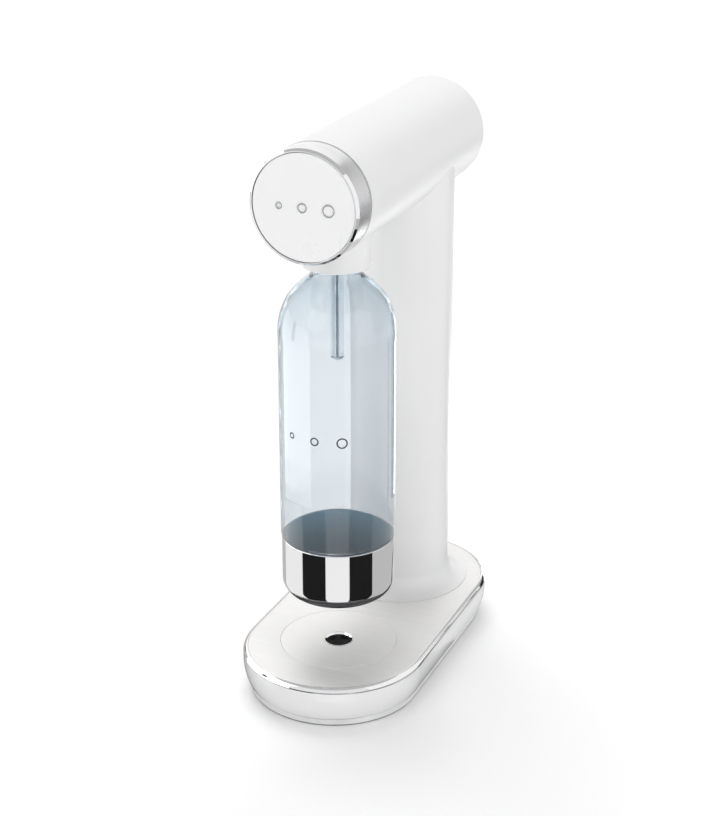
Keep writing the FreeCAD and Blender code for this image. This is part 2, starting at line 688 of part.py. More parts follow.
def lug():
    """One bayonet lug on the bottle's neck, pointing along +X before it is turned."""
    return block((NECK_R - 1.0, LUG_REACH), (-3.0, 3.0), (333.0, LUG_TOP))


def around_bottle(shape, angle):
    copy = shape.copy()
    copy.rotate(V(0, 0, 0), Z_AXIS, angle)
    copy.translate(V(0, BOTTLE_Y, 0))
    return copy


def bottle_lock_ring():
    """Ring inside the collar that turns with the bottle; its slots let the lugs drop out."""
    ring = tube(RING_OUTER, RING_INNER, 327.0, MOUTH_TOP, BOTTLE_Y)
    for angle in LUG_ANGLES:
        slot = block((NECK_R - 2, LUG_REACH + GAP), (-3.0 - GAP, 3.0 + GAP), (320.0, LUG_TOP + GAP))
        ring = ring.cut(around_bottle(slot, angle))
    return ring


def bottle_body():
    """Clear bottle: domed shoulder, straight side, and a foot that fits inside the cup."""
    w = BOTTLE_WALL
    foot_r = CUP_R - CUP_WALL - 0.1
    body = turned([(0, BOTTLE_FLOOR + 4), (18, BOTTLE_FLOOR + 2.5), (33, BOTTLE_FLOOR),
                   (38.6, BOTTLE_FLOOR + 2.2, "arc"), (foot_r, BOTTLE_FLOOR + 8),
                   (foot_r, CUP_TOP + 0.3), (BOTTLE_R, CUP_TOP + 1.2), (BOTTLE_R, 272.0),
                   (40.9, 288.0, "bow"), (35.4, 301.6), (27.0, 311.6, "bow"), (NECK_R, 319.6),
                   (NECK_R, MOUTH_TOP), (NECK_R - 2.2, MOUTH_TOP), (NECK_R - 2.2, 318.6),
                   (26.0, 310.2, "bow"), (34.0, 300.7), (40.9 - w, 287.5, "bow"),
                   (BOTTLE_R - w, 272.0), (BOTTLE_R - w, CUP_TOP + 2), (foot_r - w, CUP_TOP),
                   (foot_r - w, BOTTLE_FLOOR + 8), (38.0 - w, BOTTLE_FLOOR + 4.2, "arc"),
                   (33, BOTTLE_FLOOR + 2.5), (18, BOTTLE_FLOOR + 5), (0, BOTTLE_FLOOR + 6.5)],
                  BOTTLE_Y)
    return fused([body] + [around_bottle(lug(), angle) for angle in LUG_ANGLES])


def bottle_cup():
    """Mirror-polished metal cup round the bottle's foot."""
    bend = CUP_FILLET * (1 - math.cos(math.radians(45)))
    w = CUP_WALL
    inner_bend = bend + w * math.cos(math.radians(45))
    return turned([(0, CUP_BOTTOM + 1.0), (30.0, CUP_BOTTOM + 1.0), (31.0, CUP_BOTTOM),
                   (CUP_R - CUP_FILLET, CUP_BOTTOM), (CUP_R - bend, CUP_BOTTOM + bend, "arc"),
                   (CUP_R, CUP_BOTTOM + CUP_FILLET), (CUP_R, CUP_TOP), (CUP_R - w, CUP_TOP),
                   (CUP_R - w, CUP_BOTTOM + CUP_FILLET),
                   (CUP_R - inner_bend, CUP_BOTTOM + inner_bend, "arc"),
                   (CUP_R - CUP_FILLET, CUP_BOTTOM + w + 0.4), (0, CUP_BOTTOM + w + 1.0)], BOTTLE_Y)


NODES = [base_shell, foot_ring, base_cover, base_screws, ballast_plate, edge_trim, top_plate,
         drip_disc, hole_rim, drip_cup, cylinder_cradle, column_shell, rear_cover, cover_clips,
         column_frame, gas_cylinder, cylinder_valve, valve_pin, valve_housing, housing_seal,
         plunger, plunger_spring, valve_lever, lever_pin, lever_bracket, cam, cam_pin,
         knob_shaft, return_spring, knob_hub, knob_screw, knob_ring, knob_bevel, knob_face,
         face_bubbles, arm_shell, arm_end_cap, arm_chassis, front_bulkhead, shaft_bracket,
         bush_front, bush_rear, head_collar, head_block, head_screws, bottle_seal, nozzle_tube,
         relief_valve, gas_pipe, pipe_nuts, bottle_lock_ring, bottle_body, bottle_cup]

os.makedirs("parts", exist_ok=True)
for node in NODES:
    shape = node().translated(V(0, 0, FOOT_DROP))
    print(node.__name__, "valid" if shape.isValid() else "INVALID", len(shape.Solids), round(shape.Volume))
    shape.exportStep("parts/" + node.__name__ + ".step")
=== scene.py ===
import bmesh
import bpy
import json
import math
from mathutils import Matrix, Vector


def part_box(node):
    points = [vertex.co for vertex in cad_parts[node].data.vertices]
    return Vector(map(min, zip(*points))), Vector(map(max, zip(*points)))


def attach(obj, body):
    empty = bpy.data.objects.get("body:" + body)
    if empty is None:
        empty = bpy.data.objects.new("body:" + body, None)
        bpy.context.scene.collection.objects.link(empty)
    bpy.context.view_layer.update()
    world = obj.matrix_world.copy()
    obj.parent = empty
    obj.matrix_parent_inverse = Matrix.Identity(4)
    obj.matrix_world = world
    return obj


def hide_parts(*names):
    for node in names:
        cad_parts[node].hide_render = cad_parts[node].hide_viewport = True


# The looks of a white soda carbonator, built round its CAD frame. Lengths are metres; MM turns
# millimetres into them. Outlines are lists of (radius, height) points in millimetres, and a third
# number rounds that corner.

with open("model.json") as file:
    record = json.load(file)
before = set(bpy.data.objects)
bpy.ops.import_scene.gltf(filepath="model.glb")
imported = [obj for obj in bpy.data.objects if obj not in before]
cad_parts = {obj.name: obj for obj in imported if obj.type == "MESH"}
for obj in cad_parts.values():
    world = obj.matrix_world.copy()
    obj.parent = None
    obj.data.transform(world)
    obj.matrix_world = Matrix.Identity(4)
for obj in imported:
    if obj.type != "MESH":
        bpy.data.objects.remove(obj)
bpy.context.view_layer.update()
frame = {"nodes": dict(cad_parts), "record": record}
MM = 0.001
ROUND_STEPS = 192              # segments round a turned piece
STADIUM_STEPS = 96             # segments round each end of the base
STADIUM_STRAIGHT = 24          # segments along each side of the base
COLUMN_STEPS = 216             # segments round the column
SMOOTH_ANGLE = 35.0            # edges sharper than this many degrees stay sharp
CORNER_GUARD = 0.12            # share of a rounded corner's reach that is added as a flat lead-in
CORNER_GUARD_MOST = 0.25       # longest such lead-in


# ---------------------------------------------------------------- places from the frame
def low(node):
    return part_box(node)[0] / MM


def high(node):
    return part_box(node)[1] / MM


def middle(node):
    return (low(node) + high(node)) / 2


FLOOR = 0.0
BASE_R = high("base_shell").x
BASE_CENTRE = high("base_shell").y - BASE_R
SKIRT_BOTTOM = low("base_shell").z
SKIRT_TOP = high("base_shell").z
SKIRT_LOW_R = 65.0             # the skirt's lower edge
SKIRT_BELLY_R = 68.2           # half-way up its curve
SKIRT_BELLY_RISE = 9.1
SKIRT_CURVE_RISE = 19.1        # above this the skirt is upright
SKIRT_WALL = 3.0
FOOT_TOP = high("foot_ring").z
FOOT_R = high("foot_ring").x
FOOT_STEP = FOOT_TOP - 2.8     # where the shadow gap below the skirt starts
FOOT_COLLAR = 2.4              # how far that gap goes in
FOOT_HOLLOW = 7.5              # from the foot's outside to its inside
SOLE_HEIGHT = 0.9              # sole under the foot moulding, dark as painted contact shadow
SOLE_INSET = 0.7
TRIM_LOW = low("edge_trim").z
TRIM_TOP_R = 66.0
PLATE_TOP = high("top_plate").z
PLATE_R = high("top_plate").x
DISC_HOLE_R = 43.85            # hole in the plate for the drip disc
COLUMN_HOLE_R = 36.4           # hole in the plate under the column
DISC_R = 43.7
SLEEVE_INNER_R = 9.6           # bright rim of the drain hole
SLEEVE_OUTER_R = 10.9
BOTTLE_Y = middle("bottle_cup").y
COLUMN_Y = middle("gas_cylinder").y
COLUMN_R = 38.6
COLUMN_WALL = 2.2
COLUMN_START = PLATE_TOP + 0.05
FLARE_R = high("column_shell").x
FLARE_STEPS = 18
COVER_SEAM = high("rear_cover").z + 0.4
COVER_HALF_ANGLE = 69.3
OPENING_HALF_ANGLE = 70.3
ARM_R = high("arm_shell").x
ARM_Z = middle("arm_shell").z
ARM_FRONT = low("arm_shell").y
ARM_BACK = high("arm_shell").y
ARM_WALL = 2.5
ARM_PANEL = 24                 # longest face along the arm
ARM_CUT_DEPTH = 60             # how far the cuts under the arm reach below its axis
KNOB_R = high("knob_ring").x
KNOB_FRONT = low("knob_bevel").y
BEVEL_BACK = high("knob_bevel").y
BEVEL_INNER_R = 37.7
RING_BACK = high("knob_ring").y
RING_INNER_R = 37.4
FACE_R = high("knob_face").x
FACE_FRONT = low("knob_face").y
FACE_DEPTH = 2.4
COLLAR_R = high("head_collar").x
COLLAR_BOTTOM = low("head_collar").z
COLLAR_INNER_R = COLLAR_R - 3.6
CUP_R = high("bottle_cup").x
CUP_BOTTOM = low("bottle_cup").z
CUP_TOP = high("bottle_cup").z
CUP_WALL = 0.9
CUP_FILLET = 11.5
BOTTLE_R = high("bottle_body").x
BOTTLE_FLOOR = low("bottle_body").z
BOTTLE_FOOT_R = CUP_R - CUP_WALL - 0.1
BOTTLE_WALL = 1.5
NECK_WALL_GAIN = 1.9           # how much thicker the wall gets over NECK_WALL_SPAN of height
NECK_WALL_START = 262.0
NECK_WALL_SPAN = 60.0
NECK_R = 16.7
NECK_BORE_R = 13.2
NECK_BORE_START = 328.0
MOUTH_TOP = high("bottle_body").z
LIFT = MOUTH_TOP - 346.0       # the shoulder and neck are drawn for a mouth at 346 mm
NOZZLE_R = high("nozzle_tube").x
NOZZLE_BORE_R = 1.0
NOZZLE_TIP = low("nozzle_tube").z
NOZZLE_TOP = high("nozzle_tube").z


# ---------------------------------------------------------------- mesh builders
def rounded(points, closed=True, steps=7):
    """Outline with its corners rounded: each (a, b, radius) point becomes an arc."""
    out = []
    count = len(points)
    for i, point in enumerate(points):
        here = Vector(point[:2])
        if len(point) == 2 or (not closed and i in (0, count - 1)):
            out.append(here)
            continue
        back = Vector(points[i - 1][:2]) - here
        ahead = Vector(points[(i + 1) % count][:2]) - here
        to_back, to_ahead = back.normalized(), ahead.normalized()
        half = to_back.angle(to_ahead) / 2
        reach = min(point[2] / math.tan(half), 0.49 * back.length, 0.49 * ahead.length)
        radius = reach * math.tan(half)
        centre = here + (to_back + to_ahead).normalized() * (radius / math.sin(half))
        start = here + to_back * reach - centre
        sweep = start.angle_signed(here + to_ahead * reach - centre)
        guard = min(CORNER_GUARD * reach, CORNER_GUARD_MOST)
        out.append(here + to_back * (reach + guard))
        for k in range(steps + 1):
            turn = -sweep * k / steps
            c, s = math.cos(turn), math.sin(turn)
            out.append(centre + Vector((start.x * c - start.y * s, start.x * s + start.y * c)))
        out.append(here + to_ahead * (reach + guard))
    return out


def curved(start, middle_point, end, steps=14):
    """Points of the circular arc from start through middle_point to end."""
    a, b, c = Vector(start), Vector(middle_point), Vector(end)
    aa, bb, cc = a.length_squared, b.length_squared, c.length_squared
    d = 2 * (a.x * (b.y - c.y) + b.x * (c.y - a.y) + c.x * (a.y - b.y))
    centre = Vector(((aa * (b.y - c.y) + bb * (c.y - a.y) + cc * (a.y - b.y)) / d,
                     (aa * (c.x - b.x) + bb * (a.x - c.x) + cc * (b.x - a.x)) / d))
    first = a - centre
    sweep = -first.angle_signed(c - centre)
    via = -first.angle_signed(b - centre)
    if (via > 0) != (sweep > 0):
        sweep += math.copysign(2 * math.pi, via)
    points = []
    for k in range(steps + 1):
        co, s = math.cos(sweep * k / steps), math.sin(sweep * k / steps)
        points.append((centre.x + first.x * co - first.y * s,
                       centre.y + first.x * s + first.y * co))
    return points


def mesh_from(name, bm, scale):
    """Mesh of a bmesh, which is then freed, with its points multiplied by scale."""
    mesh = bpy.data.meshes.new(name)
    bm.to_mesh(mesh)
    bm.free()
    for vertex in mesh.vertices:
        vertex.co *= scale
    return mesh


def linked(name, data):
    """New object in the scene."""
    item = bpy.data.objects.new(name, data)
    bpy.context.scene.collection.objects.link(item)
    return item


def finished(name, bm, material, body, stands_for=()):
    """Turns a bmesh built in millimetres into a smooth, named piece that rides on a CAD body."""
    bmesh.ops.remove_doubles(bm, verts=bm.verts, dist=1e-5)
    bmesh.ops.recalc_face_normals(bm, faces=bm.faces)
    mesh = mesh_from(name, bm, MM)
    mesh.polygons.foreach_set("use_smooth", [True] * len(mesh.polygons))
    mesh.set_sharp_from_angle(angle=math.radians(SMOOTH_ANGLE))
    mesh.materials.append(material)
    piece = linked(name, mesh)
    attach(piece, body)
    if stands_for:
        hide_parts(*stands_for)
    return piece


def joined(bm, rings, closed_rings=True):
    """Quads between neighbouring rings of vertices; a ring of one vertex is a pole."""
    for lower, upper in zip(rings, rings[1:]):
        count = max(len(lower), len(upper))
        for k in range(count if closed_rings else count - 1):
            n = (k + 1) % count
            corners = [lower[k % len(lower)], lower[n % len(lower)],
                       upper[n % len(upper)], upper[k % len(upper)]]
            unique = [v for j, v in enumerate(corners) if v not in corners[:j]]
            if len(unique) > 2:
                bm.faces.new(unique)


def turned_mesh(outline, place, closed=True, steps=ROUND_STEPS):
    """Bmesh of an outline turned round an axis; place(radius, height, angle) gives a point."""
    bm = bmesh.new()
    rings = []
    for radius, height in outline:
        if radius < 1e-6:
            rings.append([bm.verts.new(place(0.0, height, 0.0))])
            continue
        rings.append([bm.verts.new(place(radius, height, 2 * math.pi * k / steps))
                      for k in range(steps)])
    if closed:
        rings.append(rings[0])
    joined(bm, rings)
    return bm


def upright(y):
    """Places an outline round the vertical axis at (0, y)."""
    return lambda r, h, a: (r * math.sin(a), y - r * math.cos(a), h)


def along_arm(r, h, a):
    """Places an outline round the arm's axis; its heights run along Y."""
    return (r * math.sin(a), h, ARM_Z + r * math.cos(a))


def stadium_ring(reach, height):
    """Points of the base's stadium, reach away from its spine."""
    points = []
    for sign in (1, -1):
        for k in range(STADIUM_STEPS + 1):
            a = math.pi * k / STADIUM_STEPS
            y = sign * (BASE_CENTRE + reach * math.sin(a))
            points.append((sign * reach * math.cos(a), y, height))
        for k in range(1, STADIUM_STRAIGHT):
            y = sign * BASE_CENTRE * (1 - 2 * k / STADIUM_STRAIGHT)
            points.append((-sign * reach, y, height))
    return points


def stadium_mesh(outline):
    """Bmesh of a closed outline swept round the base's stadium."""
    bm = bmesh.new()
    rings = [[bm.verts.new(p) for p in stadium_ring(reach, height)] for reach, height in outline]
    joined(bm, rings + rings[:1])
    return bm


def flat_sheet(outlines, bottom, top, edge):
    """Bmesh of a flat plate whose first outline is its rim and the rest are its holes."""
    curve = bpy.data.curves.new("sheet", "CURVE")
    curve.dimensions = "2D"
    curve.fill_mode = "BOTH"
    for points in outlines:
        spline = curve.splines.new("POLY")
        spline.points.add(len(points) - 1)
        for target, point in zip(spline.points, points):
            target.co = (point[0], point[1], 0, 1)
        spline.use_cyclic_u = True
    curve.extrude = (top - bottom) / 2 - edge
    curve.bevel_depth = edge
    curve.bevel_resolution = 3
    curve.offset = -edge
    holder = bpy.data.objects.new("sheet", curve)
    mesh = bpy.data.meshes.new_from_object(holder)
    bm = bmesh.new()
    bm.from_mesh(mesh)
    bmesh.ops.translate(bm, verts=bm.verts, vec=(0, 0, (top + bottom) / 2))
    bpy.data.objects.remove(holder)
    bpy.data.curves.remove(curve)
    bpy.data.meshes.remove(mesh)
    return bm


def circle(radius, y):
    """Points of a flat circle round (0, y)."""
    turns = [2 * math.pi * k / ROUND_STEPS for k in range(ROUND_STEPS)]
    return [(radius * math.cos(a), y + radius * math.sin(a), 0) for a in turns]


# ---------------------------------------------------------------- materials
class Shader:
    """A Principled material and short ways to add nodes to it."""

    def __init__(self, name, **values):
        self.material = bpy.data.materials.new(name)
        self.material.use_nodes = True
        self.tree = self.material.node_tree
        self.main = self.tree.nodes["Principled BSDF"]
        self.output = self.tree.nodes["Material Output"]
        for key, value in values.items():
            self.set(key.replace("_", " ").title().replace("Ior", "IOR"), value)

    def set(self, socket, value):
        self.main.inputs[socket].default_value = value

    def node(self, kind, links=None, **values):
        """New node; links feed its sockets, and values set its sockets or its properties."""
        node = self.tree.nodes.new("ShaderNode" + kind)
        for key, value in values.items():
            if key in node.inputs:
                node.inputs[key].default_value = value
            else:
                setattr(node, key, value)
        for key, source in (links or {}).items():
            self.tree.links.new(source, node.inputs[key])
        return node

    def place(self, scale=(1, 1, 1)):
        """Object coordinates in metres, stretched by scale."""
        coordinates = self.node("TexCoord")
        mapping = self.node("Mapping", {"Vector": coordinates.outputs["Object"]})
        mapping.inputs["Scale"].default_value = scale
        return mapping.outputs["Vector"]

    def noise(self, scale, stretch=(1, 1, 1), detail=3.0):
        """Noise with this many cycles to a metre."""
        links = {"Vector": self.place(stretch)}
        return self.node("TexNoise", links, Scale=scale, Detail=detail).outputs["Fac"]

    def between(self, source, low_value, high_value, start=0.3, end=0.7):
        """source, from start to end, mapped to low_value to high_value."""
        ramp = self.node("MapRange", {"Value": source})
        set_range(ramp, start, end, low_value, high_value)
        return ramp.outputs["Result"]

    def blend(self, factor, first, second):
        """Colour mix of two colours by factor."""
        mix = self.node("Mix", data_type="RGBA")
        self.tree.links.new(factor, mix.inputs[0])
        mix.inputs[6].default_value = (*first, 1)
        mix.inputs[7].default_value = (*second, 1)
        return mix.outputs[2]

    def bump(self, height, distance, strength, normal=None):
        links = {"Height": height}
        if normal:
            links["Normal"] = normal
        return self.node("Bump", links, Distance=distance, Strength=strength).outputs["Normal"]

    def feed(self, **sources):
        for key, source in sources.items():
            self.tree.links.new(source, self.main.inputs[key.replace("_", " ").title()])
        return self

    def worn(self):
        """How much a spot is an outer edge: 0 on open surfaces, 1 on the sharpest edges."""
        geometry = self.node("NewGeometry")
        return self.between(geometry.outputs["Pointiness"], 0.0, 1.0, 0.52, 0.60)


def set_range(ramp, *values):
    """Sets a Map Range node's two source limits and then its two result limits."""
    for socket, value in zip(("From Min", "From Max", "To Min", "To Max"), values):
        ramp.inputs[socket].default_value = value


def shade(tone, share):
    """A colour made darker or lighter, with no channel above 1."""
    return tuple(min(1.0, c * share) for c in tone)


def white_plastic(name, tone, roughness, coat, grain):
    """Moulded white plastic: faint mottling, a smeared finish and orange peel."""
    s = Shader(name, roughness=roughness, ior=1.48, coat_weight=coat, coat_roughness=0.08)
    mottle = s.noise(22.0, detail=4.0)
    colour = s.blend(s.between(mottle, 0.0, 1.0), shade(tone, 0.994), shade(tone, 1.004))
    fine = s.noise(2600.0, detail=2.0)
    peel = s.noise(420.0, detail=1.0)
    smear = s.noise(60.0, detail=5.0)
    rough = s.between(smear, roughness * 0.88, roughness * 1.12)
    normal = s.bump(peel, 0.00002, grain)
    normal = s.bump(fine, 0.000006, grain, normal)
    return s.feed(base_color=colour, roughness=rough, normal=normal).material


def brushed_metal(name, tone, roughness, direction, metallic=0.5):
    """Metal with fine parallel lines. direction stretches the lines along X, Y and Z."""
    s = Shader(name, metallic=metallic, roughness=roughness)
    lines = s.noise(1.0, stretch=direction, detail=6.0)
    broad = s.noise(0.12, stretch=direction, detail=3.0)
    cloud = s.noise(14.0, detail=3.0)
    colour = s.blend(s.between(lines, 0.0, 1.0, 0.25, 0.75), shade(tone, 0.94), shade(tone, 1.05))
    streak = s.node("Math", {0: lines, 1: cloud}, operation="MULTIPLY").outputs[0]
    rough = s.between(streak, roughness * 0.75, roughness * 1.3, 0.1, 0.4)
    normal = s.bump(lines, 0.000012, 0.35)
    normal = s.bump(broad, 0.00003, 0.175, normal)
    return s.feed(base_color=colour, roughness=rough, normal=normal).material


def turned_metal(name, tone, roughness, axis):
    """Lathe-finished metal: fine rings round the axis, read from the distance along it."""
    s = Shader(name, metallic=1.0, roughness=roughness, anisotropic=0.5)
    stretch = [30.0, 30.0, 30.0]
    stretch[axis] = 9000.0
    lines = s.noise(1.0, stretch=stretch, detail=5.0)
    cloud = s.noise(30.0, detail=4.0)
    colour = s.blend(s.between(lines, 0.0, 1.0, 0.25, 0.75), shade(tone, 0.93), shade(tone, 1.05))
    rough = s.between(cloud, roughness * 0.85, roughness * 1.2)
    normal = s.bump(lines, 0.000008, 0.3)
    return s.feed(base_color=colour, roughness=rough, normal=normal).material


def polished_metal(name, tone, roughness):
    """Mirror-polished metal with the faintest haze and ripple."""
    s = Shader(name, metallic=1.0, roughness=roughness)
    haze = s.noise(35.0, detail=6.0)
    fine = s.noise(900.0, detail=2.0)
    colour = s.blend(s.between(haze, 0.0, 1.0), shade(tone, 0.985), tone)
    rough = s.between(haze, roughness * 0.6, roughness * 1.6)
    normal = s.bump(fine, 0.0000012, 0.2)
    return s.feed(base_color=colour, roughness=rough, normal=normal).material


def plain_metal(name, tone, roughness):
    """Stamped, drawn or cast metal: blotchy roughness, small dents and brighter edges."""
    s = Shader(name, metallic=1.0, roughness=roughness)
    blotch = s.noise(90.0, detail=6.0)
    colour = s.blend(s.between(blotch, 0.0, 1.0), shade(tone, 0.86), tone)
    edge = s.blend(s.worn(), (1, 1, 1), (1.15, 1.15, 1.15))
    mix = s.node("Mix", {6: colour, 7: edge}, data_type="RGBA", blend_type="MULTIPLY")
    mix.inputs[0].default_value = 1.0
    rough = s.between(blotch, roughness * 0.8, roughness * 1.25)
    normal = s.bump(s.noise(700.0, detail=4.0), 0.00002, 0.35)
    return s.feed(base_color=mix.outputs[2], roughness=rough, normal=normal).material


def moulded(name, tone, roughness, grain=0.5):
    """Matt moulded plastic or rubber with a fine spark-eroded grain."""
    s = Shader(name, roughness=roughness, ior=1.46)
    grit = s.noise(1500.0, detail=3.0)
    blotch = s.noise(50.0, detail=4.0)
    colour = s.blend(s.between(blotch, 0.0, 1.0), shade(tone, 0.9), shade(tone, 1.06))
    rough = s.between(grit, roughness * 0.85, min(1.0, roughness * 1.15))
    normal = s.bump(grit, 0.00002, grain)
    return s.feed(base_color=colour, roughness=rough, normal=normal).material


def clear_plastic(name, tint, ior, depth_tint, density):
    """Clear moulded plastic, tinted by the depth of plastic that light passes through."""
    roughness = 0.01
    s = Shader(name, transmission_weight=0.98, roughness=roughness, ior=ior, coat_weight=1.0,
               coat_roughness=0.01)
    ripple = s.noise(14.0, stretch=(1, 1, 0.35), detail=1.0)
    haze = s.noise(120.0, detail=5.0)
    colour = s.blend(s.between(ripple, 0.0, 1.0), tint, shade(tint, 1.01))
    rough = s.between(haze, roughness * 0.5, roughness * 1.5)
    s.feed(base_color=colour, roughness=rough)
    depth = s.node("VolumeAbsorption")
    depth.inputs["Color"].default_value = (*depth_tint, 1)
    depth.inputs["Density"].default_value = density
    s.tree.links.new(depth.outputs["Volume"], s.output.inputs["Volume"])
    return s.material


def painted_shade_downwards(material, bottom, top, share):
    """Paints shade into a material's colour, darker towards the bottom of a deep cup, down to this
    share of it.
    """
    tree = material.node_tree
    shader = tree.nodes["Principled BSDF"]
    colour = shader.inputs["Base Color"].links[0].from_socket
    height = tree.nodes.new("ShaderNodeSeparateXYZ")
    place = tree.nodes.new("ShaderNodeTexCoord")
    tree.links.new(place.outputs["Object"], height.inputs["Vector"])
    ramp = tree.nodes.new("ShaderNodeMapRange")
    tree.links.new(height.outputs["Z"], ramp.inputs["Value"])
    set_range(ramp, bottom, top, share, 1.0)
    scale = tree.nodes.new("ShaderNodeVectorMath")
    scale.operation = "SCALE"
    tree.links.new(colour, scale.inputs[0])
    tree.links.new(ramp.outputs["Result"], scale.inputs["Scale"])
    tree.links.new(scale.outputs["Vector"], shader.inputs["Base Color"])
    return material


ALONG_X = (12.0, 2600.0, 12.0)         # brushed lines that run along X
ALONG_Z = (900.0, 900.0, 9.0)
WHITE_SATIN = white_plastic("white_satin", (0.815, 0.815, 0.818), 0.34, 0.0, 0.35)
WHITE_GLOSS = white_plastic("white_gloss", (0.87, 0.87, 0.875), 0.16, 0.3, 0.2)
# Painted light: the dial face is a whiter copy of white_satin, for the light that falls on it from
# the front.
WHITE_FACE_PAINTED_LIGHT = white_plastic("white_face", (0.90, 0.90, 0.905), 0.30, 0.0, 0.3)
FOOT_GRIP = moulded("foot_grip", (0.82, 0.82, 0.825), 0.5, 0.3)
PLATE_STEEL = brushed_metal("plate_steel", (0.85, 0.845, 0.835), 0.46, ALONG_X)
DISC_STEEL = brushed_metal("disc_steel", (0.87, 0.865, 0.855), 0.45, ALONG_X)
TRIM_CHROME = polished_metal("trim_chrome", (0.88, 0.88, 0.89), 0.05)
CUP_CHROME = polished_metal("cup_chrome", (0.90, 0.90, 0.905), 0.03)
RING_STEEL = turned_metal("ring_steel", (0.76, 0.76, 0.765), 0.25, 1)
BOTTLE_CLEAR = clear_plastic("bottle_clear", (0.975, 0.98, 0.985), 1.22, (0.21, 0.44, 0.59), 80.0)
TUBE_CLEAR = clear_plastic("tube_clear", (0.96, 0.975, 0.985), 1.45, (0.05, 0.35, 0.55), 25.0)
CUP_INSIDE = brushed_metal("cup_inside", (0.20, 0.40, 0.52), 0.38, ALONG_Z, metallic=0.3)
# Painted shade: the inside's colour falls off towards the cup's bottom, where it lies in shade.
CUP_INSIDE = painted_shade_downwards(CUP_INSIDE, CUP_BOTTOM * MM, CUP_TOP * MM, 0.08)
# Painted shade: the sole's dark colour stands in for the contact shadow under the foot.
SOLE_PAINTED_SHADE = moulded("sole_painted_shade", (0.16, 0.16, 0.165), 0.7, 0.8)
BLACK_PLASTIC = moulded("black_plastic", (0.018, 0.018, 0.02), 0.5)
GREY_PLASTIC = moulded("grey_plastic", (0.33, 0.33, 0.34), 0.55)
HEAD_PLASTIC = moulded("head_plastic", (0.14, 0.15, 0.165), 0.45)
CAM_PLASTIC = moulded("cam_plastic", (0.72, 0.70, 0.62), 0.4)
RUBBER = moulded("seal_rubber", (0.02, 0.02, 0.02), 0.7, 0.8)
BRASS = plain_metal("valve_brass", (0.78, 0.58, 0.27), 0.28)
BRONZE = plain_metal("bearing_bronze", (0.58, 0.38, 0.20), 0.42)
ZINC = plain_metal("zinc_screw", (0.62, 0.63, 0.66), 0.32)
FRAME_STEEL = plain_metal("frame_steel", (0.56, 0.57, 0.60), 0.38)
SPRING_STEEL = plain_metal("spring_steel", (0.50, 0.50, 0.52), 0.25)
BALLAST = plain_metal("ballast_steel", (0.22, 0.22, 0.23), 0.6)
CYLINDER_PAINT = plain_metal("cylinder_aluminium", (0.70, 0.71, 0.73), 0.36)
PIPE_STEEL = turned_metal("pipe_steel", (0.66, 0.66, 0.67), 0.25, 1)
BUBBLE_STEEL = plain_metal("bubble_steel", (0.52, 0.52, 0.525), 0.22)
LINER_BLUE = moulded("liner_blue", (0.045, 0.10, 0.15), 0.4)
DRIP_GREY = moulded("drip_grey", (0.15, 0.15, 0.155), 0.5)
MARK_INK = moulded("mark_ink", (0.03, 0.035, 0.045), 0.4)

# Material of each CAD node that stays in view, by its slot in the record.
NODE_MATERIALS = {
    "grey_plastic": GREY_PLASTIC, "zinc_screw": ZINC, "ballast_steel": BALLAST,
    "black_plastic": BLACK_PLASTIC, "spring_steel": SPRING_STEEL, "frame_steel": FRAME_STEEL,
    "cylinder_aluminium": CYLINDER_PAINT, "valve_brass": BRASS, "seal_rubber": RUBBER,
    "cam_plastic": CAM_PLASTIC, "bearing_bronze": BRONZE, "head_plastic": HEAD_PLASTIC,
    "pipe_steel": PIPE_STEEL,
}


# ---------------------------------------------------------------- base
def build_skirt():
    inside = BASE_R - SKIRT_WALL
    skirt = [(SKIRT_LOW_R - SKIRT_WALL, SKIRT_BOTTOM, 0.3), (SKIRT_LOW_R, SKIRT_BOTTOM, 0.5)]
    skirt += curved((SKIRT_LOW_R + 0.35, SKIRT_BOTTOM + 0.7),
                    (SKIRT_BELLY_R, SKIRT_BOTTOM + SKIRT_BELLY_RISE),
                    (BASE_R, SKIRT_BOTTOM + SKIRT_CURVE_RISE), 24)
    skirt += [(BASE_R, SKIRT_TOP, 0.35), (inside, SKIRT_TOP, 0.3), (inside, SKIRT_BOTTOM + 10)]
    finished("skirt", stadium_mesh(rounded(skirt)), WHITE_GLOSS, "stand",
             ["base_shell"])


def build_foot():
    """Foot moulding with a shadow gap under the skirt, and an inset sole that touches the floor.
    The inset casts real shade; the sole's dark colour is painted contact shadow.
    """
    sole = FLOOR + SOLE_HEIGHT
    collar = FOOT_R - FOOT_COLLAR
    inside = FOOT_R - FOOT_HOLLOW
    foot = [(FOOT_R, sole, 0.6), (FOOT_R, FOOT_STEP, 0.35), (collar, FOOT_STEP, 0.2),
            (collar, FOOT_TOP, 0.3), (FOOT_R - 4, FOOT_TOP, 0.2), (FOOT_R - 4, FOOT_TOP - 2, 0.2),
            (inside, FOOT_TOP - 2, 0.3), (inside, sole, 0.6)]
    finished("foot", stadium_mesh(rounded(foot)), FOOT_GRIP, "stand", ["foot_ring"])
    # Inset sole, painted dark as the contact shadow along the floor.
    outer, inner = FOOT_R - SOLE_INSET, FOOT_R - 7.0
    grip = [(outer, FLOOR, 0.2), (outer, sole + 0.3, 0.1), (inner, sole + 0.3, 0.1),
            (inner, FLOOR, 0.3)]
    finished("foot_sole", stadium_mesh(rounded(grip)), SOLE_PAINTED_SHADE, "stand")


def build_trim():
    inside = PLATE_R + 0.15
    trim = [(BASE_R, TRIM_LOW, 0.25), (BASE_R, TRIM_LOW + 0.5)]
    trim += curved((BASE_R, TRIM_LOW + 0.5), (BASE_R - 1.2, TRIM_LOW + 2.85),
                   (TRIM_TOP_R, PLATE_TOP + 0.1))[1:]
    trim += [(inside, PLATE_TOP + 0.1, 0.1), (inside, TRIM_LOW)]
    finished("edge_trim_ring", stadium_mesh(rounded(trim)), TRIM_CHROME, "stand",
             ["edge_trim"])


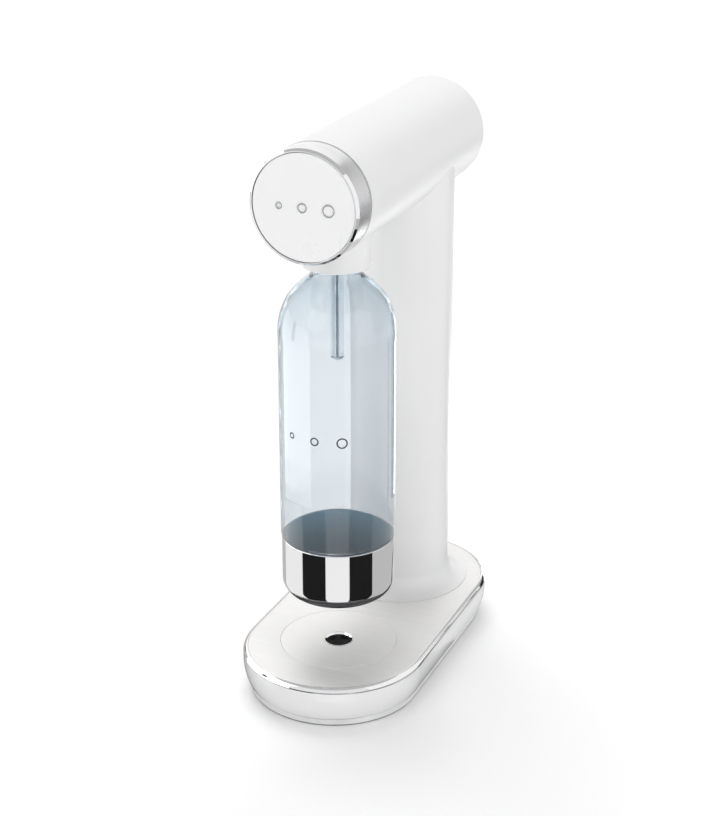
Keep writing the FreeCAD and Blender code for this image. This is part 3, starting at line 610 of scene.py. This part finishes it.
def build_plate():
    """Brushed plate, the round disc let into it, and the bright rim of the drain hole."""
    rim = [p[:2] for p in stadium_ring(PLATE_R, 0)]
    holes = [circle(DISC_HOLE_R, BOTTLE_Y), circle(COLUMN_HOLE_R, COLUMN_Y)]
    plate = flat_sheet([rim] + holes, low("top_plate").z, PLATE_TOP, 0.15)
    plate = finished("plate", plate, PLATE_STEEL, "stand", ["top_plate"])

    disc = [(SLEEVE_OUTER_R, PLATE_TOP - 0.9), (DISC_R, PLATE_TOP - 0.9), (DISC_R, PLATE_TOP, 0.15),
            (DISC_R - 1.1, PLATE_TOP - 0.02, 0.6), (SLEEVE_OUTER_R + 0.5, PLATE_TOP - 0.3, 0.4),
            (SLEEVE_OUTER_R, PLATE_TOP - 0.5, 0.1)]
    mesh = turned_mesh(rounded(disc), upright(BOTTLE_Y))
    disc = finished("drain_disc", mesh, DISC_STEEL, "stand", ["drip_disc"])
    # The cup's mirror shows the dark disc below the plate and not the plate: painted shade in its
    # reflection.
    plate.visible_glossy = disc.visible_glossy = False

    bottom = low("hole_rim").z
    sleeve = [(SLEEVE_INNER_R, bottom, 0.2), (SLEEVE_INNER_R, PLATE_TOP - 1.7, 0.5),
              (SLEEVE_OUTER_R - 0.5, PLATE_TOP - 0.1, 0.2), (SLEEVE_OUTER_R, PLATE_TOP - 0.1, 0.2),
              (SLEEVE_OUTER_R, bottom, 0.2)]
    mesh = turned_mesh(rounded(sleeve), upright(BOTTLE_Y))
    finished("drain_sleeve", mesh, TRIM_CHROME, "stand", ["hole_rim"])


# ---------------------------------------------------------------- column
def arm_underside(x):
    """Height where the vertical line at x meets the arm's skin."""
    return ARM_Z - math.sqrt(max(0.0, ARM_R ** 2 - min(abs(x), ARM_R) ** 2))


def flare_levels():
    """(radius, height) points of the column's flared foot, from the plate up."""
    lip = COLUMN_START + 0.5
    arc = FLARE_R - COLUMN_R
    points = [(FLARE_R, COLUMN_START), (FLARE_R, lip)]
    for k in range(1, FLARE_STEPS + 1):
        a = math.radians(90 * k / FLARE_STEPS)
        points.append((FLARE_R - arc * math.sin(a), lip + arc - arc * math.cos(a)))
    return points


def column_skin(name, keep, top, body, node, lowest):
    """Panel of the column's skin, up to the arm if top; keep(angle, above_seam) picks faces."""
    bm = bmesh.new()
    foot = flare_levels()
    rings = []
    for radius, height in foot:
        rings.append([(radius, max(height, lowest))] * COLUMN_STEPS)
    for share in (0.02, 0.2, 0.4, 0.6, 0.8, 0.98, 1.0):
        height = foot[-1][1] + (COVER_SEAM - foot[-1][1]) * share
        rings.append([(COLUMN_R, height)] * COLUMN_STEPS)
    seam_level = len(rings) - 1
    if top:
        for share in (0.05, 0.3, 0.6, 0.9, 1.0):
            ring = []
            for k in range(COLUMN_STEPS):
                rise = arm_underside(COLUMN_R * math.sin(2 * math.pi * k / COLUMN_STEPS)) + 0.25
                ring.append((COLUMN_R, COVER_SEAM + (rise - COVER_SEAM) * share))
            rings.append(ring)
    place = upright(COLUMN_Y)
    verts = [[bm.verts.new(place(r, h, 2 * math.pi * k / COLUMN_STEPS))
              for k, (r, h) in enumerate(ring)] for ring in rings]
    for level, (lower, upper) in enumerate(zip(verts, verts[1:])):
        for k in range(COLUMN_STEPS):
            angle = math.degrees(2 * math.pi * (k + 0.5) / COLUMN_STEPS)
            if keep(angle, level >= seam_level):
                n = (k + 1) % COLUMN_STEPS
                bm.faces.new((lower[k], lower[n], upper[n], upper[k]))
    loose = [v for v in bm.verts if not v.link_faces]
    bmesh.ops.delete(bm, geom=loose, context="VERTS")
    piece = finished(name, bm, WHITE_SATIN, body, [node])
    wall = piece.modifiers.new("wall", "SOLIDIFY")
    wall.thickness = COLUMN_WALL * MM
    wall.offset = -1.0
    wall.use_even_offset = True
    soft = piece.modifiers.new("soft_edges", "BEVEL")
    soft.width = 0.35 * MM
    soft.segments = 3
    soft.limit_method = "ANGLE"
    soft.angle_limit = math.radians(50)
    soft.harden_normals = True


def behind(angle, half):
    return abs(angle - 180.0) < half


def in_column(angle, above_seam):
    return above_seam or not behind(angle, OPENING_HALF_ANGLE)


def in_cover(angle, above_seam):
    return not above_seam and behind(angle, COVER_HALF_ANGLE)


def build_column():
    column_skin("column", in_column, True, "stand", "column_shell", COLUMN_START)
    column_skin("column_cover", in_cover, False, "cover", "rear_cover", low("rear_cover").z)


# ---------------------------------------------------------------- arm and collar
def cut_by(piece, cutters):
    """Cuts turned plugs out of a piece and applies the result."""
    for bm in cutters:
        cutter = linked("cutter", mesh_from("cutter", bm, MM))
        hole = piece.modifiers.new("hole", "BOOLEAN")
        hole.object = cutter
        hole.operation = "DIFFERENCE"
        hole.solver = "EXACT"
        bpy.context.view_layer.update()
        seen = piece.evaluated_get(bpy.context.evaluated_depsgraph_get())
        cut = bpy.data.meshes.new_from_object(seen)
        piece.modifiers.clear()
        piece.data = cut
        bpy.data.objects.remove(cutter)


def build_arm():
    inner = ARM_R - ARM_WALL
    cap_r = high("arm_end_cap").x
    seat_r = cap_r + 0.3
    shell = [(inner, ARM_FRONT, 0.3), (ARM_R, ARM_FRONT, 0.4), (ARM_R, ARM_BACK, 6.0),
             (seat_r, ARM_BACK, 0.4), (seat_r, ARM_BACK - 2.5), (inner, ARM_BACK - 5.5)]
    corners = rounded(shell)
    outline = []
    for a, b in zip(corners, corners[1:] + corners[:1]):
        outline.append(tuple(a))
        parts = int((b - a).length // ARM_PANEL)
        outline += [tuple(a.lerp(b, k / (parts + 1))) for k in range(1, parts + 1)]
    arm = finished("arm", turned_mesh(outline, along_arm), WHITE_SATIN, "stand",
                   ["arm_shell"])
    plugs = []
    for r, y in ((COLUMN_R - COLUMN_WALL, COLUMN_Y), (COLLAR_INNER_R, BOTTLE_Y)):
        plug = [(0, ARM_Z - ARM_CUT_DEPTH), (r, ARM_Z - ARM_CUT_DEPTH), (r, ARM_Z), (0, ARM_Z)]
        plugs.append(turned_mesh(plug, upright(y), False, 96))
    cut_by(arm, plugs)

    cap = [(0, ARM_BACK - 2.2), (cap_r - 2, ARM_BACK - 2.2), (cap_r - 2, ARM_BACK - 8),
           (cap_r, ARM_BACK - 8), (cap_r, ARM_BACK, 0.5), (0, ARM_BACK)]
    mesh = turned_mesh(rounded(cap, closed=False), along_arm, closed=False)
    finished("arm_back_cap", mesh, WHITE_SATIN, "stand", ["arm_end_cap"])


def build_collar():
    """White sleeve under the arm; its top follows the arm's skin."""
    outside = rounded([(COLLAR_INNER_R, COLLAR_BOTTOM, 0.6), (COLLAR_R, COLLAR_BOTTOM, 3.2),
                       (COLLAR_R, COLLAR_BOTTOM + 12)], closed=False)
    bm = bmesh.new()
    steps = 144
    turns = [2 * math.pi * k / steps for k in range(steps)]
    place = upright(BOTTLE_Y)
    rings = []
    for radius, height in outside[:-1]:
        rings.append([bm.verts.new(place(radius, height, a)) for a in turns])
    walls = [(COLLAR_R, COLLAR_BOTTOM + 3.6, share) for share in (0.3, 0.7, 1.0)]
    walls += [(COLLAR_INNER_R, COLLAR_BOTTOM, share) for share in (1.0, 0.5, 0.0)]
    for radius, start, share in walls:
        ring = []
        for a in turns:
            top = arm_underside(COLLAR_R * math.sin(a)) + 0.4
            ring.append(bm.verts.new(place(radius, start + (top - start) * share, a)))
        rings.append(ring)
    joined(bm, rings + rings[:1])
    finished("collar", bm, WHITE_SATIN, "stand", ["head_collar"])


# ---------------------------------------------------------------- knob
def build_knob():
    front = BEVEL_BACK + 0.05
    ring = [(RING_INNER_R, front), (KNOB_R, front, 0.1), (KNOB_R, RING_BACK, 0.35),
            (RING_INNER_R, RING_BACK, 0.3)]
    finished("grip_ring", turned_mesh(rounded(ring), along_arm), RING_STEEL, "knob",
             ["knob_ring"])

    bevel = [(BEVEL_INNER_R, BEVEL_BACK), (BEVEL_INNER_R, KNOB_FRONT, 0.12),
             (BEVEL_INNER_R + 0.65, KNOB_FRONT, 0.3), (KNOB_R, KNOB_FRONT + 1.9, 0.5),
             (KNOB_R, BEVEL_BACK, 0.05)]
    finished("polished_bevel", turned_mesh(rounded(bevel), along_arm), TRIM_CHROME,
             "knob", ["knob_bevel"])

    face_back = FACE_FRONT + FACE_DEPTH
    face = [(0, face_back), (0, FACE_FRONT), (FACE_R, FACE_FRONT, 0.35), (FACE_R, face_back)]
    mesh = turned_mesh(rounded(face, closed=False), along_arm, closed=False)
    finished("dial_face", mesh, WHITE_FACE_PAINTED_LIGHT, "knob", ["knob_face"])


def build_bubbles():
    """Three raised rings on the knob's face, of growing size."""
    bm = bmesh.new()
    around, across = 64, 14
    wire, rise, sunk = 0.6, 0.35, 0.25
    for x, radius in ((-18.0, 2.6), (-1.0, 3.6), (18.0, 4.6)):
        rings = []
        for k in range(around):
            a = 2 * math.pi * k / around
            ring = []
            for j in range(across):
                b = 2 * math.pi * j / across
                r = radius - wire + wire * math.cos(b)
                y = FACE_FRONT - sunk - rise * math.sin(b)
                ring.append(bm.verts.new((x + r * math.cos(a), y, ARM_Z + r * math.sin(a))))
            rings.append(ring)
        joined(bm, rings + rings[:1])
    finished("bubble_rings", bm, BUBBLE_STEEL, "knob", ["face_bubbles"])


# ---------------------------------------------------------------- bottle
def bottle_side():
    """The bottle's outside from its foot to its mouth."""
    points = [(BOTTLE_FOOT_R, CUP_TOP - 1.0), (BOTTLE_FOOT_R, CUP_TOP + 0.3)]
    points += [(BOTTLE_R - 0.3, CUP_TOP + 0.9), (BOTTLE_R, CUP_TOP + 2.0)]
    points += [(BOTTLE_R, CUP_TOP + 40), (BOTTLE_R, CUP_TOP + 90), (BOTTLE_R, 250 + LIFT)]
    shoulder = (35.4, 301.6 + LIFT)
    points += curved((BOTTLE_R, 272 + LIFT), (40.9, 288 + LIFT), shoulder, 16)
    points += curved(shoulder, (27.0, 311.3 + LIFT), (18.2, 318.6 + LIFT), 12)[1:]
    points += [(17.0, 319.9 + LIFT), (NECK_R, 321.6 + LIFT), (NECK_R, 328 + LIFT)]
    for k in range(3):
        thread = 329.5 + 3.2 * k + LIFT
        points += [(NECK_R, thread), (NECK_R + 0.3, thread + 0.5), (NECK_R + 0.3, thread + 1.1),
                   (NECK_R, thread + 1.6)]
    points += [(NECK_R, MOUTH_TOP - 0.5), (NECK_R - 0.4, MOUTH_TOP), (15.0, MOUTH_TOP)]
    return points


def bottle_inside(outside):
    """The bottle's inside, whose wall grows thicker towards the neck."""
    shoulder_top = 318 + LIFT
    points = []
    for i in range(1, len(outside) - 3):
        radius, height = outside[i]
        if height > shoulder_top:
            continue
        above_start = max(0.0, (height - NECK_WALL_START) / NECK_WALL_SPAN)
        wall = BOTTLE_WALL + NECK_WALL_GAIN * above_start
        along = (Vector(outside[i + 1]) - Vector(outside[i - 1])).normalized()
        points.append((radius - wall * along.y, height + wall * along.x))
    return points + [(NECK_BORE_R, NECK_BORE_START), (NECK_BORE_R, MOUTH_TOP - 0.5)]


def build_bottle():
    outside = bottle_side()
    corner_r = CUP_FILLET - 1.3
    bend = corner_r * (1 - math.cos(math.radians(45)))
    floor_r = BOTTLE_FOOT_R - corner_r
    below = [(0, BOTTLE_FLOOR + 4), (18, BOTTLE_FLOOR + 2.5), (floor_r, BOTTLE_FLOOR)]
    below += curved((floor_r, BOTTLE_FLOOR), (BOTTLE_FOOT_R - bend, BOTTLE_FLOOR + bend),
                    (BOTTLE_FOOT_R, BOTTLE_FLOOR + corner_r), 8)[1:]
    above = curved((BOTTLE_FOOT_R - BOTTLE_WALL, BOTTLE_FLOOR + corner_r),
                   (BOTTLE_FOOT_R - bend - BOTTLE_WALL, BOTTLE_FLOOR + bend + BOTTLE_WALL),
                   (floor_r, BOTTLE_FLOOR + 2.5), 8)
    above += [(18, BOTTLE_FLOOR + 5), (0, BOTTLE_FLOOR + 6.5)]
    outline = below + outside + bottle_inside(outside)[::-1] + above
    bottle = finished("bottle", turned_mesh(outline, upright(BOTTLE_Y), closed=False),
                      BOTTLE_CLEAR, "bottle", ["bottle_body"])
    bottle.visible_shadow = bottle.visible_diffuse = False


def build_cup():
    """Mirror cup round the bottle's foot, with a blue-grey inside seen through the bottle."""
    inner = CUP_R - CUP_WALL
    shoulder = CUP_BOTTOM + CUP_FILLET
    corner = CUP_FILLET * (1 - math.cos(math.radians(45)))
    cup = [(0, CUP_BOTTOM + 1.0), (30, CUP_BOTTOM + 1.0, 0.5), (31, CUP_BOTTOM, 0.4)]
    cup += curved((CUP_R - CUP_FILLET, CUP_BOTTOM), (CUP_R - corner, CUP_BOTTOM + corner),
                  (CUP_R, shoulder), 24)
    cup += [(CUP_R, shoulder + 3), (CUP_R, CUP_TOP, 0.4), (inner, CUP_TOP, 0.3)]
    corner += CUP_WALL * math.cos(math.radians(45))
    cup += curved((inner, shoulder), (CUP_R - corner, CUP_BOTTOM + corner),
                  (CUP_R - CUP_FILLET, CUP_BOTTOM + CUP_WALL + 0.4), 12)
    cup += [(0, CUP_BOTTOM + CUP_WALL + 1.0)]
    mesh = turned_mesh(rounded(cup, closed=False, steps=12), upright(BOTTLE_Y), closed=False)
    mirror = finished("mirror_cup", mesh, CUP_CHROME, "bottle", ["bottle_cup"])
    mirror.data.materials.append(CUP_INSIDE)
    reach, lowest = (inner + 0.02) * MM, (CUP_BOTTOM + CUP_WALL * 0.7) * MM
    for face in mirror.data.polygons:
        sideways = Vector((face.center.x, face.center.y - BOTTLE_Y * MM, 0.0))
        within = sideways.length < reach and face.center.z > lowest
        if within and (face.normal.dot(sideways) <= 0.0 or face.normal.z > 0.5):
            face.material_index = 1


def build_nozzle():
    """Clear tube inside the bottle, and a dark liner in its bore."""
    bore, gap = NOZZLE_BORE_R, 0.05
    tube = [(bore, NOZZLE_TIP, 0.2), (NOZZLE_R, NOZZLE_TIP, 0.7), (NOZZLE_R, NOZZLE_TOP),
            (bore, NOZZLE_TOP)]
    nozzle = finished("nozzle", turned_mesh(rounded(tube), upright(BOTTLE_Y), steps=96),
                      TUBE_CLEAR, "stand", ["nozzle_tube"])
    liner = [(bore / 2, NOZZLE_TIP + 0.6, 0.1), (bore - gap, NOZZLE_TIP + 0.6, 0.1),
             (bore - gap, NOZZLE_TOP - 1), (bore / 2, NOZZLE_TOP - 1)]
    liner = finished("nozzle_liner", turned_mesh(rounded(liner), upright(BOTTLE_Y), steps=48),
                     LINER_BLUE, "stand")
    for piece in (nozzle, liner):
        piece.visible_shadow = piece.visible_diffuse = False


def mark_bottle():
    """Three small printed rings on the bottle, like rising bubbles."""
    bm = bmesh.new()
    skin = BOTTLE_R + 0.04
    mark_height, stroke, steps = 212.0, 1.0, 48
    for turn, radius in ((-26.0, 2.4), (1.0, 3.2), (28.0, 4.0)):
        inner, outer = [], []
        for k in range(steps):
            a = 2 * math.pi * k / steps
            for ring, r in ((inner, radius - stroke), (outer, radius)):
                angle = math.radians(turn) + r * math.cos(a) / skin
                ring.append(bm.verts.new((skin * math.sin(angle),
                                          BOTTLE_Y - skin * math.cos(angle),
                                          mark_height + r * math.sin(a))))
        joined(bm, [inner, outer])
    mark = finished("bottle_mark", bm, MARK_INK, "bottle")
    film = mark.modifiers.new("film", "SOLIDIFY")
    film.thickness = 0.05 * MM
    film.offset = 1.0


# ---------------------------------------------------------------- mechanism inside
def smooth_group():
    """Geometry nodes that merge split corners and shade smooth where faces nearly agree."""
    group = bpy.data.node_groups.new("smooth_by_angle", "GeometryNodeTree")
    for way in ("INPUT", "OUTPUT"):
        group.interface.new_socket("Geometry", in_out=way, socket_type="NodeSocketGeometry")
    enter = group.nodes.new("NodeGroupInput")
    leave = group.nodes.new("NodeGroupOutput")
    merge = group.nodes.new("GeometryNodeMergeByDistance")
    merge.inputs["Distance"].default_value = 1e-6
    faces = group.nodes.new("GeometryNodeSetShadeSmooth")
    edges = group.nodes.new("GeometryNodeSetShadeSmooth")
    edges.domain = "EDGE"
    edges.inputs["Shade Smooth"].default_value = False
    angle = group.nodes.new("GeometryNodeInputMeshEdgeAngle")
    sharp = group.nodes.new("FunctionNodeCompare")
    sharp.operation = "GREATER_THAN"
    sharp.inputs[1].default_value = math.radians(32)
    links = group.links
    links.new(enter.outputs[0], merge.inputs["Geometry"])
    links.new(merge.outputs["Geometry"], faces.inputs["Geometry"])
    links.new(faces.outputs["Geometry"], edges.inputs["Geometry"])
    links.new(angle.outputs["Unsigned Angle"], sharp.inputs[0])
    links.new(sharp.outputs["Result"], edges.inputs["Selection"])
    links.new(edges.outputs["Geometry"], leave.inputs[0])
    return group


def dress_mechanism():
    """Gives every CAD node that stays in view its own material and smooth shading."""
    group = smooth_group()
    slots = {part["node"]: part["material_slot"] for part in frame["record"]["subparts"]}
    for name, node in frame["nodes"].items():
        material = DRIP_GREY if name == "drip_cup" else NODE_MATERIALS.get(slots[name])
        if material is None:
            continue
        node.data.materials.clear()
        node.data.materials.append(material)
        modifier = node.modifiers.new("smooth", "NODES")
        modifier.node_group = group


# ---------------------------------------------------------------- studio
AMBIENT = 0.52
# name, azimuth, elevation, strength, and the width of its disc in degrees
SUNS = (
    ("key", -145, 60, 1.36, 40),
    ("fill", -25, 30, 0.50, 40),
    ("side", 75, 22, 0.82, 60),
)
FLOOR_TONE = 0.97
FLOOR_REACH = 12.0
DARK_REACH = 0.11              # radius of the dark disc under the bottle
DARK_DEPTH = 0.002             # how far it lies below the floor
CARD_STEPS = 24
# name, first and last azimuth, radius, bottom and top, own tone, and glow; lengths are metres
CARDS = (
    ("flag_left", -53, -2, 0.90, -0.90, -0.272, 0.01, 0.0),
    ("flag_right", 46, 96, 0.90, -0.90, -0.272, 0.01, 0.0),
    ("glow_middle", -1.5, 45.5, 0.90, -0.90, -0.272, 0.0, 0.93),
    ("glow_left", -112, -54, 0.90, -0.90, -0.272, 0.0, 0.90),
    ("glow_right", 97, 168, 0.90, -0.90, -0.272, 0.0, 0.52),
    ("strip_fade_low", -103, -30, 0.92, -0.270, -0.240, 0.0, 1.2),
    ("strip_fade_high", -103, -30, 0.92, -0.240, -0.205, 0.0, 1.75),
    ("strip_left", -103, -30, 0.92, -0.205, 0.40, 0.0, 2.2),
    ("strip_high", -103, -30, 0.92, 0.41, 1.20, 0.0, 1.5),
    ("shade_front", -29, 37, 0.92, -0.270, -0.05, 0.03, 0.0),
    ("line_right", 168, 183, 0.92, -0.270, -0.07, 0.0, 3.0),
    ("line_high", 168, 176, 0.92, -0.070, 0.12, 0.0, 2.4),
    ("sky_front", -29, 60, 0.92, 0.03, 1.20, 0.0, 0.85),
    ("sky_right", 61, 149.5, 0.92, 0.03, 1.20, 0.0, 1.0),
    ("shade_side", 151, 167.5, 0.90, -0.270, 0.20, 0.02, 0.0),
    ("shade_edge", 136, 143, 0.90, -0.270, -0.07, 0.02, 0.0),
    ("sky_back", 168, 256, 0.92, 0.20, 1.30, 0.0, 1.15),
    ("accent_front", -70, -62, 0.90, 0.05, 0.40, 0.01, 0.0),
    ("accent_left", -120, -113, 0.90, -0.02, 0.12, 0.01, 0.0),
    ("accent_side_near", 143.2, 144.0, 0.90, 0.0, 0.3, 0.01, 0.0),
    ("accent_side_far", 146.4, 147.2, 0.90, 0.0, 0.3, 0.01, 0.0),
)


def towards(azimuth, elevation):
    """Direction out from the machine: azimuth 0 is the knob side, 90 is the machine's +X side."""
    a, e = math.radians(azimuth), math.radians(elevation)
    return Vector((math.sin(a) * math.cos(e), -math.cos(a) * math.cos(e), math.sin(e)))


def sun(name, azimuth, elevation, strength, width):
    """Soft lamp far away; the wider its disc, the softer its shadows."""
    lamp = bpy.data.lights.new(name, "SUN")
    lamp.energy = strength
    lamp.angle = math.radians(width)
    holder = linked(name, lamp)
    holder.rotation_euler = towards(azimuth, elevation).to_track_quat("Z", "Y").to_euler()
    holder.visible_glossy = False


def only_reflected(piece):
    """Leaves a studio piece to be seen in reflections alone."""
    piece.visible_camera = piece.visible_diffuse = False
    piece.visible_shadow = piece.visible_transmission = False


def card(name, start, end, radius, bottom, top, tone, glow):
    """Curved card that stands round the bottle's axis, between two azimuths. Reflections don't
    see the floor, so a card may reach below it."""
    bm = bmesh.new()
    rings = []
    for height in (bottom, top):
        ring = []
        for k in range(CARD_STEPS + 1):
            a = math.radians(start + (end - start) * k / CARD_STEPS)
            x, y = radius * math.sin(a), BOTTLE_Y * MM - radius * math.cos(a)
            ring.append(bm.verts.new((x, y, height)))
        rings.append(ring)
    joined(bm, rings, closed_rings=False)
    piece = linked(name, mesh_from(name, bm, 1.0))
    cloth = Shader(name + "_cloth", roughness=1.0)
    cloth.set("Base Color", (tone, tone, tone, 1))
    cloth.set("Emission Color", (1, 1, 1, 1))
    cloth.set("Emission Strength", glow)
    piece.data.materials.append(cloth.material)
    only_reflected(piece)


def dark_below():
    """Dark disc under the floor, painted shade in the downward reflections of the cup's foot."""
    bm = bmesh.new()
    bmesh.ops.create_circle(bm, cap_ends=True, segments=64, radius=DARK_REACH)
    disc = linked("dark_below", mesh_from("dark_below", bm, 1.0))
    disc.location = (0, BOTTLE_Y * MM, -DARK_DEPTH)
    cloth = Shader("dark_cloth", roughness=1.0, base_color=(0.02, 0.02, 0.02, 1))
    disc.data.materials.append(cloth.material)
    only_reflected(disc)


def build_floor():
    bm = bmesh.new()
    bmesh.ops.create_grid(bm, x_segments=8, y_segments=8, size=FLOOR_REACH)
    floor = linked("floor", mesh_from("floor", bm, 1.0))
    paper = Shader("paper", roughness=0.9, base_color=(FLOOR_TONE, FLOOR_TONE, FLOOR_TONE, 1))
    floor.data.materials.append(paper.material)
    floor.visible_glossy = False


def build_studio():
    world = bpy.data.worlds.new("studio")
    world.use_nodes = True
    background = world.node_tree.nodes["Background"]
    background.inputs["Color"].default_value = (1, 1, 1, 1)
    background.inputs["Strength"].default_value = AMBIENT
    bpy.context.scene.world = world
    bpy.context.scene.view_settings.view_transform = "Standard"
    for values in SUNS:
        sun(*values)
    build_floor()
    for values in CARDS:
        card(*values)
    dark_below()


CAMERA_AZIMUTH = 23.17
CAMERA_ELEVATION = 22.30
CAMERA_DISTANCE = 1.591
CAMERA_LENS = 82.4
CAMERA_SENSOR = 36.0
CAMERA_AIM = (-77.3, 163.6, 92.0 + PLATE_TOP)


def build_camera():
    back = towards(CAMERA_AZIMUTH, CAMERA_ELEVATION)
    camera = bpy.data.cameras.new("camera")
    camera.sensor_width = CAMERA_SENSOR
    camera.lens = CAMERA_LENS
    holder = linked("camera", camera)
    holder.location = Vector(CAMERA_AIM) * MM + back * CAMERA_DISTANCE
    holder.rotation_euler = back.to_track_quat("Z", "Y").to_euler()
    bpy.context.scene.camera = holder


build_skirt()
build_foot()
build_trim()
build_plate()
build_column()
build_arm()
build_collar()
build_knob()
build_bubbles()
build_bottle()
build_cup()
build_nozzle()
mark_bottle()
dress_mechanism()
build_studio()
build_camera()
